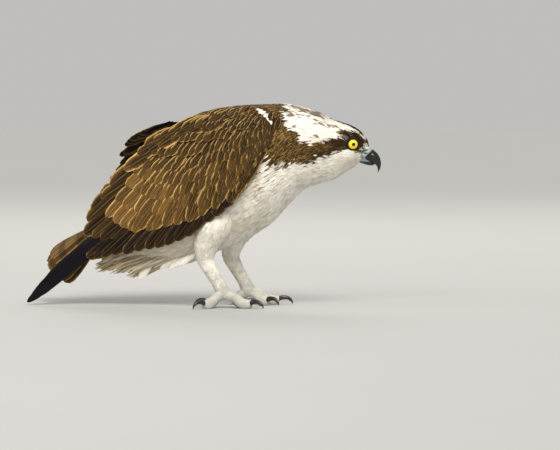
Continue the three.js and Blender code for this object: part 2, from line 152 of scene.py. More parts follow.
# A mesh object at the origin from points in the bird's millimetres, with its UV maps, its numbers and
# colours for each point, and sharp edges where faces meet at more than the crease's degrees
def makePiece(name, points, faces, uv=None, values=None, colours=None, crease=None):
    mesh = bpy.data.meshes.new(name)
    mesh.from_pydata(((np.asarray(points) + offset) * mm).tolist(), [], faces)
    mesh.update()
    corner = np.zeros(len(mesh.loops), np.int32)
    mesh.loops.foreach_get("vertex_index", corner)
    for layer, spots in (uv or {}).items():
        flat = np.asarray(spots, np.float32)[corner]
        mesh.uv_layers.new(name=layer).data.foreach_set("uv", flat.ravel())
    for label, numbers in (values or {}).items():
        layer = mesh.attributes.new(label, "FLOAT", "POINT")
        layer.data.foreach_set("value", np.asarray(numbers, np.float32))
    if colours is not None:
        four = np.hstack([np.clip(colours, 0, 1), np.ones((len(colours), 1))]).astype(np.float32)
        layer = mesh.attributes.new("plumeColour", "FLOAT_COLOR", "POINT")
        layer.data.foreach_set("color", four.ravel())
    mesh.shade_smooth()
    if crease:
        mesh.set_sharp_from_angle(angle=math.radians(crease))
    piece = bpy.data.objects.new(name, mesh)
    bpy.context.scene.collection.objects.link(piece)
    return piece


# Says what a piece rides on, stands for and is finished with
def settle(piece, material, slot, *nodes):
    piece.data.materials.append(material)
    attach(piece, "root")
    if nodes:
        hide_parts(*nodes)


# Quads of a grid of rows by columns, its last column joined to the first
def gridFaces(rows, columns):
    i, j = np.meshgrid(np.arange(rows - 1), np.arange(columns), indexing="ij")
    k = (j + 1) % columns
    near, far = i * columns, (i + 1) * columns
    return np.stack([near + j, near + k, far + k, far + j], -1).reshape(-1, 4)


# Grid of u from 0 to 1 by rows, and of the angle round one full turn by sides
def ringGrid(rows, sides):
    return np.meshgrid(np.linspace(0, 1, rows), np.arange(sides) / sides * 2 * np.pi, indexing="ij")


# Rings (rows, sides, 3) joined in order, each end closed by a fan round its own middle
def closedTube(rings):
    rows, sides = rings.shape[:2]
    points = np.vstack([rings.reshape(-1, 3), rings[0].mean(0), rings[-1].mean(0)])
    faces = gridFaces(rows, sides)
    j = np.arange(sides)
    k = (j + 1) % sides
    last = (rows - 1) * sides
    ends = np.vstack([np.stack([np.full(sides, rows * sides), k, j], -1),
                      np.stack([np.full(sides, rows * sides + 1), last + j, last + k], -1)])
    # faces point out where the enclosed volume is positive
    a, b, c = points[faces[:, 0]], points[faces[:, 1]], points[faces[:, 2]]
    middle = points.mean(0)
    if np.sum((a - middle) * np.cross(b - middle, c - middle)) < 0:
        faces, ends = faces[:, ::-1], ends[:, ::-1]
    return points, faces.tolist() + ends.tolist()


# Several closed surfaces as one list of points and faces
def together(parts):
    points, faces, start = [], [], 0
    for p, f in parts:
        points.append(p)
        faces += [[v + start for v in face] for face in f]
        start += len(p)
    return np.vstack(points), faces


# The brow that shades an eye, the socket the eye sits in, and the hollow of the lores before it, whose
# bare skin fades in over these spans of x and z
brow = {"line": [(202, 12, 241), (196, 21.2, 246.5), (187, 21.7, 248), (176, 22, 246)],
        "rise": 2.6, "reach": 4.6}
socket = {"depth": 3.4, "reach": 10.4}
lores = {"at": (208, 14.5, 220.5), "depth": 2.8, "reach": 7.5, "skin": (0.11, 0.13, 0.12),
         "front": (202, 206), "top": (231, 228), "bottom": (209, 212)}


# Swelling of the face: a bell across the brow's line, less a flat-bottomed hollow at the lores and the eye
def faceSwell(points):
    line = curveThrough(brow["line"], np.linspace(0, 1, 12))
    rise = brow["rise"] * np.exp(-(awayFromLine(folded(points), line) / brow["reach"]) ** 2)
    hollow = lores["depth"] * np.exp(-(awayFrom(points, lores["at"]) / lores["reach"]) ** 4)
    return rise - hollow - socket["depth"] * np.exp(-(awayFrom(points, bird["eye"]) / socket["reach"]) ** 4)


# The body's surface: a ring between the top and bottom rails, its height by the cosine of the angle
# and its width by the sine, moved out by the lift and by the face's swelling
def bodyPoint(u, angle, lift):
    u = np.clip(u, 0, 1)
    top = curveThrough(bird["top"], u)
    bottom = curveThrough(bird["bottom"], u)
    centre = (top + bottom) / 2
    up = top - bottom
    half = np.linalg.norm(up, axis=-1) / 2
    up = unit(up)
    wide = track(bird["halfWidth"], u)

    def at(out):
        rise = (half + out) * np.cos(angle)
        side = (wide + out) * np.sin(angle) * (1 - 0.08 * np.cos(angle))
        return np.stack([centre[..., 0] + up[..., 0] * rise, side, centre[..., 1] + up[..., 1] * rise], -1)

    return at(lift + np.where(u > bird["headStart"], faceSwell(at(lift * 0)), 0))


# A round limb: circles square to a smooth curve through the points, of the radius read at u
def limbPoint(line, u, angle, lift):
    at = lambda place: curveThrough(line["points"], place)
    centre = at(u)
    step = 0.004
    tangent = unit(at(np.minimum(u + step, 1)) - at(np.maximum(u - step, 0)))
    middle = at(0.5 + step) - at(0.5 - step)
    start = unit(np.cross([0, 0, 1.0], middle))
    across = unit(start - tangent * (tangent @ start)[..., None])
    over = unit(np.cross(tangent, across))
    radius = (track(line["radii"], u) + lift)[..., None]
    return centre + across * radius * np.cos(angle)[..., None] + over * radius * np.sin(angle)[..., None]


# A whole limb as a closed surface
def limbTube(line, rows, sides):
    u, angle = ringGrid(rows, sides)
    return closedTube(limbPoint(line, u, angle, 0 * u))


# Legs, as the solids have them
legs = {"right": {"side": -1, "ahead": 0.0}, "left": {"side": 1, "ahead": bird["leftFootAhead"]}}
toeKinds = {
    "inner": {"turn": 24, "length": 34, "thick": 6.6},
    "middle": {"turn": -14, "length": 44, "thick": 6.8},
    "outer": {"turn": -128, "length": 36, "thick": 6.4},
    "hind": {"turn": 166, "length": 27, "thick": 6.6},
}
thighShape = {"points": [(4, 34, 152), (-6, 40, 122), (-18, 40, 94), (-20, 37, 66)],
              "radii": [27, 27, 19, 11.5]}
shankShape = {"points": [(-21, 37, 76), (-14, 37, 56), (-2, 37, 36), (6, 37, 21), (10, 37, 14.5)],
              "radii": [9.5, 9.6, 9, 10.4, 8]}
clawShape = {"points": [(-3, 7), (5, 10), (13, 9.4), (18.6, 5), (20.2, 0.9)],
             "radii": [3.5, 3.4, 2.7, 1.7, 0.5]}


# A shape on its own leg: mirrored to the leg's side and moved ahead with its foot
def onLeg(shape, leg):
    points = np.array(shape["points"], float) * [1, leg["side"], 1] + [leg["ahead"], 0, 0]
    return {"points": points, "radii": shape["radii"]}


# A toe runs out from the foot's base, arched, and lies on a small flat near its end
def toeLine(leg, kind):
    heading = math.radians(kind["turn"]) * -leg["side"]
    out = np.array([math.cos(heading), math.sin(heading), 0])
    base = np.array([6 + leg["ahead"], leg["side"] * bird["footSpread"], 0])
    r = kind["thick"]
    heights = ((0.12, 18.5), (0.42, 14.5), (0.72, r), (1, r - 0.5))
    points = [base + out * kind["length"] * s + [0, 0, z] for s, z in heights]
    radii = [r + 0.6, r + 0.2, r + 0.7, r - 0.6]
    return {"points": points, "radii": radii, "out": out, "end": base + out * kind["length"]}


# A claw's curve stands at its toe's end, in the upright plane the toe runs in
def clawLine(toe):
    points = [toe["end"] + toe["out"] * forward + [0, 0, z] for forward, z in clawShape["points"]]
    return {"points": points, "radii": clawShape["radii"]}


# Shader sockets that plain arithmetic can join: an expression adds its Math nodes
class Socket:
    def __init__(self, tree, link=None):
        self.tree, self.link = tree, link

    # Any node: its type, its settings, then the values or links of its sockets
    def node(self, kind, settings=None, values=None, out=0):
        made = self.tree.nodes.new("ShaderNode" + kind)
        for key, value in (settings or {}).items():
            setattr(made, key, value)
        for key, value in (values or {}).items():
            if isinstance(value, Socket):
                self.tree.links.new(value.link, made.inputs[key])
            else:
                made.inputs[key].default_value = value
        return Socket(self.tree, made.outputs[out])

    def math(self, operation, *terms):
        return self.node("Math", {"operation": operation}, dict(enumerate(terms)))

    def __add__(self, other):
        return self.math("ADD", self, other)

    def __sub__(self, other):
        return self.math("SUBTRACT", self, other)

    def __rsub__(self, other):
        return self.math("SUBTRACT", other, self)

    def __mul__(self, other):
        return self.math("MULTIPLY", self, other)

    __radd__ = __add__

    def size(self):
        return self.math("ABSOLUTE", self)

    def wave(self):
        return self.math("SINE", self)

    def most(self, other):
        return self.math("MAXIMUM", self, other)

    # 0 below low, 1 above high, a smooth step between
    def step(self, low, high):
        return self.node("MapRange", {"interpolation_type": "SMOOTHSTEP"},
                         {"Value": self, "From Min": low, "From Max": high})

    # One colour shifted to another by a share
    def tint(self, a, b, share, blend="MIX"):
        a, b = (one if isinstance(one, Socket) else (*one, 1.0) for one in (a, b))
        return self.node("Mix", {"data_type": "RGBA", "blend_type": blend}, {0: share, 6: a, 7: b}, out=2)

    def attribute(self, name, out="Fac"):
        return self.node("Attribute", {"attribute_name": name}, out=out)

    # A height as a bump of the surface, its distance in metres
    def bump(self, strength, distance):
        return self.node("Bump", {}, {"Height": self, "Strength": strength, "Distance": distance})

    def noise(self, scale, detail, stretch=None):
        place = self.node("TexCoord", out="Object")
        if stretch:
            place = self.node("Mapping", {}, {"Vector": place, "Scale": stretch})
        values = {"Vector": place, "Scale": scale, "Detail": detail, "Roughness": 0.55}
        return self.node("TexNoise", {}, values)


# A material: what varies goes in by link, what is constant is set on the shader's own socket
def makeMaterial(name, build, constants):
    material = bpy.data.materials.new(name)
    material.use_nodes = True
    tree = material.node_tree
    tree.nodes.clear()
    shader = tree.nodes.new("ShaderNodeBsdfPrincipled")
    output = tree.nodes.new("ShaderNodeOutputMaterial")
    tree.links.new(shader.outputs[0], output.inputs[0])
    for key, value in constants.items():
        shader.inputs[key].default_value = value
    for key, value in build(Socket(tree)).items():
        tree.links.new(value.link, shader.inputs[key])
    return material


# Colours of the plumage, linear
shade = {name: np.array(value) for name, value in {
    "white": (0.86, 0.83, 0.75), "cream": (0.62, 0.51, 0.32), "brown": (0.036, 0.019, 0.006),
    "deepBrown": (0.014, 0.008, 0.004), "warmBrown": (0.070, 0.035, 0.009), "gold": (0.27, 0.145, 0.034),
    "buff": (0.74, 0.48, 0.17), "black": (0.005, 0.004, 0.006), "blueBlack": (0.005, 0.005, 0.009),
    "streak": (0.10, 0.055, 0.022),
}.items()}

# A feather's finish: where its border and its tip turn pale, the shaft's width, the barbs' number and slant
feather = {"border": 0.72, "tip": 0.93, "shaft": 0.045, "barbs": 150.0, "barbSlant": 34.0}


# The feather's own colour, mottled and barbed, then gold towards its sides and tip, buff at its border, and
# the streak, bars and shaft that its numbers ask for
def featherNodes(p):
    own = p.attribute("plumeColour", "Color")
    fringe, bars, streak = p.attribute("fringe"), p.attribute("bars"), p.attribute("streak")
    across = p.node("SeparateXYZ", {}, {0: p.node("UVMap", {"uv_map": "vane"})})
    along = Socket(p.tree, across.link.node.outputs[1])
    side = (across - 0.5).size() * 2
    grain = p.noise(420.0, 2.0)
    soft = (grain - 0.5) * 0.22
    border = (side + soft).step(feather["border"], 0.95).most((along + soft * 0.4).step(feather["tip"], 0.99))
    glow = (side * 0.8 + along * 0.5 + soft).step(0.35, 1.15)
    shaft = 1 - side.step(feather["shaft"] * 0.4, feather["shaft"] * 1.8)
    barb = (along * feather["barbs"] + side * -feather["barbSlant"]).wave()
    mottle = p.noise(120.0, 4.0)
    dim = 0.70 + mottle * 0.60 + barb * 0.07
    colour = p.tint(own, p.node("CombineColor", {}, {0: dim, 1: dim, 2: dim}), 1.0, "MULTIPLY")
    colour = p.tint(colour, shade["gold"], glow * fringe * (0.15 + mottle * 0.75))
    colour = p.tint(colour, shade["buff"], border * fringe * (0.40 + mottle * 0.6))
    colour = p.tint(colour, shade["streak"], (1 - side.step(0.15, 0.6)) * along.step(0.25, 0.6) * streak)
    colour = p.tint(colour, shade["deepBrown"] * 0.9, (along * 34.0).wave().step(0.15, 0.55) * bars)
    colour = p.tint(colour, shade["buff"] * 0.45, shaft * fringe * 0.55)
    relief = barb * 0.35 + shaft * 1.4 + grain * 0.3
    return {"Base Color": colour, "Roughness": 0.58 + mottle * 0.25, "Normal": relief.bump(0.30, 0.0003)}


feathers = makeMaterial("feathers", featherNodes, {"Specular IOR Level": 0.08})


# Feather pieces all share the one finish
def dress(pieces, slot, *nodes):
    for piece in pieces:
        settle(piece, feathers, slot, *nodes)


# The skin under the coat has the coat's own colours
def skinNodes(p):
    down = p.noise(300.0, 4.0)
    colour = p.tint(p.attribute("plumeColour", "Color"), shade["cream"] * 0.6, down * 0.18)
    return {"Base Color": colour, "Roughness": 0.75 + down * 0.2, "Normal": down.bump(0.4, 0.0008)}


skinPaint = makeMaterial("downy skin", skinNodes, {"Specular IOR Level": 0.25})
print("materials of the plumage made")

# Markings in the side view, as (x, z): back and lower edge of the white head, lower edge of the brown, the
# stain on the breast, the dark line before and over the eye, the dark marks as (x, z, x, z, half width), and
# the breast's few strong streaks
markings = {
    "crownEdge": [(60, 330), (112, 300), (117, 284), (118, 272), (124, 260), (136, 245), (148, 236.5),
                  (157, 238), (168, 242), (184, 243), (192, 247), (215, 240)],
    "brownEdge": [(-200, 70), (-120, 120), (-40, 190), (40, 236), (76, 236), (92, 234), (101, 229), (99, 222),
                  (109, 215), (123, 211), (136, 212.5), (146, 211), (151, 208.5), (158, 216), (175, 223.5),
                  (187, 228.5), (215, 233)],
    "stain": (79, 188.5), "ragged": 2.6,
    "loreLine": [(184, 250.5), (191, 249.5), (199, 247), (205, 242), (206, 234), (202, 228)],
    "loreWide": (5.4, 3.2),
    "marks": [(156, 263, 161, 262.4, 1.3), (166, 261.6, 179, 258.2, 0.9), (118, 268, 130, 264, 0.8),
              (122, 280, 139, 272.5, 1.2), (146, 274, 158, 270.5, 1.3), (129, 284, 142, 276.5, 1.2),
              (150, 246, 158, 243.5, 0.8), (100, 219, 108, 216, 0.8)],
    "breast": [(78, 220.5), (62, 217.5), (86, 211.5), (67, 201.5), (98, 197), (90, 188.5), (72, 210),
               (56, 206), (104, 206)],
}


# Height of a marking's edge at x, by straight stretches
def edgeHeight(name, x):
    points = np.array(markings[name], float)
    return np.interp(x, points[:, 0], points[:, 1])


# Colour of the feathers rooted at points, and how far they belong to the dark plumage: the most of the
# mantle, the crown's streaks, the marks, the forehead, the line at the eye and its ring, with ragged edges
def plumage(points):
    x, y, z = points[..., 0], points[..., 1], points[..., 2]
    rag = wobble(points, 7, 3) * markings["ragged"] + wobble(points, 3, 4) * markings["ragged"] * 0.5
    above = smooth(-1.6, 1.6, z - edgeHeight("brownEdge", x) + rag)
    crown = smooth(-1.6, 1.6, z - edgeHeight("crownEdge", x) + rag) * smooth(112, 122, x + rag)
    brown = above * (1 - crown)
    middle = 1 - smooth(4, 13, np.abs(y))
    streaks = smooth(-0.20, 0.20, wobble(points * [0.35, 1.3, 1.0], 5, 11))
    cap = crown * streaks * middle * smooth(176, 166, x)
    fore = smooth(168, 176, x) * smooth(209, 206, x) * smooth(236, 242, z)
    fore = fore * smooth(8.5, 6.0, np.abs(y) + rag * 0.5)
    line = curveThrough(markings["loreLine"], np.linspace(0, 1, 16))
    side = np.stack([x, z], -1)
    lore = smooth(*markings["loreWide"], awayFromLine(side, line) + rag * 0.25) * smooth(7, 10, np.abs(y))
    spots = 0 * x
    for ax, az, bx, bz, wide in markings["marks"]:
        run = np.array([bx - ax, bz - az])
        share = np.clip(((side - [ax, az]) @ run) / (run @ run), 0, 1)
        away = np.linalg.norm(side - [ax, az] - share[..., None] * run, axis=-1)
        spots = np.maximum(spots, smooth(wide * 1.7, wide * 0.7, away + rag * 0.12) * (y < -4) * 0.85)
    ring = smooth(14, 11.5, awayFrom(points, bird["eye"])) * above
    dark = np.clip(np.maximum.reduce([brown, cap, spots, fore, lore, ring]), 0, 1)
    stain = smooth(4.5, 2, np.hypot(x - markings["stain"][0], z - markings["stain"][1])) * (y < 0)
    warm = 0.06 + 0.20 * wobble(points, 20, 5) + 0.55 * smooth(20, -70, x) * smooth(150, 80, z)
    warm = warm + 0.28 * smooth(0.1, 0.6, wobble(points * [0.3, 1, 1], 9, 6)) * smooth(215, 130, z)
    pale = mix(shade["white"], shade["cream"], np.clip(warm, 0, 0.85))
    darkTone = mix(shade["brown"], shade["deepBrown"], np.clip(0.5 + 0.5 * wobble(points, 8, 9), 0, 1))
    darkTone = mix(darkTone, shade["gold"], smooth(0.25, 0.75, wobble(points, 4, 13)) * 0.5)
    tone = 1 + 0.10 * wobble(points, 12, 7)[..., None] + 0.08 * wobble(points, 4, 8)[..., None]
    colour = mix(pale * tone, darkTone * tone, dark)
    return mix(colour, shade["gold"] * 1.4, stain * 0.8), dark


# How far the breast's feathers carry a brown streak: near the few strong ones, and faintly at random
def breastStreak(points):
    x, z = points[..., 0], points[..., 2]
    away = np.min([np.hypot((x - cx) * 0.55, z - cz) for cx, cz in markings["breast"]], axis=0)
    bib = smooth(25, 60, x) * (1 - smooth(110, 140, x)) * smooth(150, 185, z)
    bib = bib * (z < edgeHeight("brownEdge", x) - 2)
    faint = smooth(0.35, 0.7, wobble(points * [0.5, 1, 1.7], 6, 31)) * 0.6
    return np.maximum(smooth(3.4, 2.0, away), faint) * bib


# Most triangles in one piece of feathers, and the angle past which a feather's edges are sharp
vanePiece = {"triangles": 190000, "crease": 75}


# Feathers as thin closed vanes. top holds (feathers, stations, across) points of each vane's middle sheet;
# both faces stand off it by half the thickness, which falls to nothing at the borders.
def makeFeathers(name, top, normal, look, roots, patch):
    plain = {key: np.zeros(len(top)) for key in ("fringe", "bars", "streak")}
    look = {**plain, **look}
    count, stations, across = top.shape[:3]
    edge = np.linspace(-1, 1, across)
    thick = np.broadcast_to(look["thick"], count)[:, None, None, None]
    swell = normal * ((1 - edge ** 2)[None, None, :, None] * thick / 2)
    ring = np.concatenate([top + swell, (top - swell)[:, :, -2:0:-1]], axis=2)
    sides = ring.shape[2]
    each = stations * sides
    faces = gridFaces(stations, sides)
    under = lambda k: k if k in (0, across - 1) else sides - k
    caps = [[k, k + 1, under(k + 1), under(k)] for k in range(across - 1)]
    caps = [[v for n, v in enumerate(cap) if v not in cap[:n]] for cap in caps]
    last = (stations - 1) * sides
    ends = [cap[::-1] for cap in caps] + [[v + last for v in cap] for cap in caps]
    acrossStep = top[:, 1:, 1:] - top[:, 1:, :-1]
    alongStep = top[:, 1:, 1:] - top[:, :-1, 1:]
    if np.sum(np.cross(acrossStep, alongStep) * normal[:, 1:, 1:]) < 0:
        faces, ends = faces[:, ::-1], [cap[::-1] for cap in ends]
    share = (edge + 1) / 2
    vane = np.stack(np.broadcast_arrays(np.concatenate([share, share[-2:0:-1]])[None, :],
                                        np.linspace(0, 1, stations)[:, None]), -1).reshape(-1, 2)
    batch = max(1, vanePiece["triangles"] // (len(faces) * 2 + sum(len(cap) - 2 for cap in ends)))
    made = []
    for part, begin in enumerate(range(0, count, batch)):
        rows = slice(begin, begin + batch)
        n = len(ring[rows])
        shift = np.arange(n) * each
        every = (faces[None] + shift[:, None, None]).reshape(-1, 4).tolist()
        for cap in ends:
            every += (np.array(cap)[None] + shift[:, None]).tolist()
        spots = (roots[rows][:, None, :] + (vane[None] - 0.5) * patch).reshape(-1, 2)
        label = name if count <= batch else f"{name}_{part + 1}"
        made.append(makePiece(
            label, ring[rows].reshape(-1, 3), every,
            uv={"vane": np.tile(vane, (n, 1)), "OFBake": spots},
            values={key: np.repeat(look[key][rows], each) for key in plain},
            colours=np.repeat(look["colour"][rows], each, axis=0), crease=vanePiece["crease"]))
    print(f"{name}: {count} feathers in {len(made)} pieces")
    return made


# Each of a number of feathers has its own cell of a square sheet: the cells' middles and their size
def inCells(count):
    cells = math.ceil(math.sqrt(count))
    index = np.arange(count)
    return (np.stack([index % cells, index // cells], -1) + 0.5) / cells, 0.9 / cells


# Places on the sheet of points given by u and the angle
def spotsOf(u, angle):
    return np.stack([u, angle / (2 * np.pi)], -1)


rootPatch = 0.003  # size of one small feather on the sheet
rootJitter = 0.35  # share of the spacing by which a root strays


# Roots on a surface of two parameters: staggered rings, a spacing apart, each root jittered
def scatter(surface, low, high, spacing):
    turn = np.linspace(0, 2 * np.pi, 65)
    u, found, row = low, [], 0
    while u < high:
        gap = spacing(u)
        ring = surface(np.full(65, u), turn, np.zeros(65))
        around = np.linalg.norm(np.diff(ring, axis=0), axis=1)
        count = max(6, int(around.sum() / gap))
        places = (np.arange(count) + 0.5 * (row % 2)) / count + rng.normal(0, rootJitter * 0.5, count) / count
        lengths = np.concatenate([[0], np.cumsum(around)]) / around.sum()
        angle = np.interp(places % 1, lengths, turn)
        ahead = surface(np.full(65, u + 1e-3), turn, np.zeros(65))
        speed = np.linalg.norm(ahead - ring, axis=1).mean() / 1e-3
        found.append(np.stack([u + rng.normal(0, rootJitter * 0.4, count) * gap / speed, angle], 1))
        u += gap * 0.78 / speed
        row += 1
    found = np.vstack(found)
    return np.clip(found[:, 0], low, high), found[:, 1]


# Lays feathers on a surface: each runs from its root for its length, turned by lean from the surface's
# lines of u, and rises from its root's depth to its tip's lift. Steps in millimetres become parameters
# by the surface's own stretch at the root.
def layFeathers(surface, u0, v0, heading, shape, outline, across=3):
    step = 1e-3
    zero = np.zeros_like(u0)
    alongU = surface(u0 + step, v0, zero) - surface(u0 - step, v0, zero)
    alongV = surface(u0, v0 + step, zero) - surface(u0, v0 - step, zero)
    lengthU = np.linalg.norm(alongU, axis=-1) / (2 * step)
    lengthV = np.maximum(np.linalg.norm(alongV, axis=-1) / (2 * step), 4)
    s, broad = np.array(outline).T
    e = np.linspace(-1, 1, across)
    take = lambda key: np.broadcast_to(shape[key], len(u0))[:, None, None]
    run = take("length") * s[None, :, None] + 0 * e
    wide = take("half") * broad[None, :, None] * e
    bend = take("bend") * (s ** 2)[None, :, None] * take("length")
    forward = run * np.cos(take("lean")) - (wide + bend) * np.sin(take("lean"))
    sideways = run * np.sin(take("lean")) + (wide + bend) * np.cos(take("lean"))
    u = u0[:, None, None] + heading * forward / lengthU[:, None, None]
    v = v0[:, None, None] + sideways / lengthV[:, None, None]
    rise = -take("depth") + (take("lift") + take("depth")) * (s ** 0.7)[None, :, None]
    rise = rise - take("curl") * (e ** 2) * broad[None, :, None]
    top = surface(u, v, rise)
    return top, unit(surface(u, v, rise + 0.5) - top)


# A feather's outline as its half width at shares of its length: a broad plume and a plain wisp
plumeOutline = [(0, 0.35), (0.3, 0.85), (0.6, 1.0), (0.85, 0.68), (1.0, 0.07)]
wispOutline = [(0, 0.35), (0.3, 0.85), (0.6, 0.9), (0.85, 0.5), (1.0, 0.06)]

# The folded wing, as the solids have it
wing = {
    "wrist": (85.0, 273.0), "length": 444.0, "along": 0.801, "down": 0.599,
    "upperEdge": [10, 22, 52, 76, 88, 92, 88, 78, 66, 52, 36, 26, 18, 10, 2],
    "lowerEdge": [-8, -18, -32, -46, -57, -59, -58, -54, -38, -24, -16, -11, -8, -4, -2],
    "upperSide": [40, 36, 28, 20, 15, 13, 13, 16, 22, 29, 33, 35, 36, 37, 37],
    "lowerSide": [45, 60, 70, 72, 71, 69, 65, 60, 54, 49, 46, 44, 43, 42, 41],
    "bulge": [0, 5, 9, 13, 16, 17, 15, 12, 8, 5, 3, 2, 1, 0, 0],
    "narrowest": 12, "overhang": 0.3, "slant": 0.35, "upright": 0.35,
}
wingPlaces = {"right": {"side": -1, "turn": 0.0, "ahead": 0.0, "raise": 0.0, "sink": 0.0},
              "left": {"side": 1, "turn": 5.0, "ahead": 12.0, "raise": -4.0, "sink": 8.0}}


# The wing's outer face: along runs from wrist to tip and across up from the lower edge. Its distance from
# the bird's middle is a straight blend of the two edges' distances plus a parabola of bulge between them.
# A lift leans down near the lower edge and up near the upper one.
def wingPoint(place, along, across, lift):
    u = along / wing["length"]
    low, high = track(wing["lowerEdge"], u), track(wing["upperEdge"], u)
    q = (across - low) / np.maximum(high - low, wing["narrowest"])
    q = np.clip(q, -wing["overhang"], 1 + wing["overhang"])
    near, far = track(wing["lowerSide"], u), track(wing["upperSide"], u)
    y = near + (far - near) * q + track(wing["bulge"], u) * 4 * q * (1 - q)
    x = -wing["along"] * along - wing["down"] * across
    z = -wing["down"] * along + wing["along"] * across
    turn = math.radians(place["turn"])
    lean = wing["slant"] * (q - wing["upright"]) * lift
    forward = x * math.cos(turn) + z * math.sin(turn) - wing["down"] * lean
    upward = z * math.cos(turn) - x * math.sin(turn) + wing["along"] * lean
    return np.stack([place["ahead"] + wing["wrist"][0] + forward, place["side"] * (y + lift),
                     place["raise"] + wing["wrist"][1] + upward], -1)


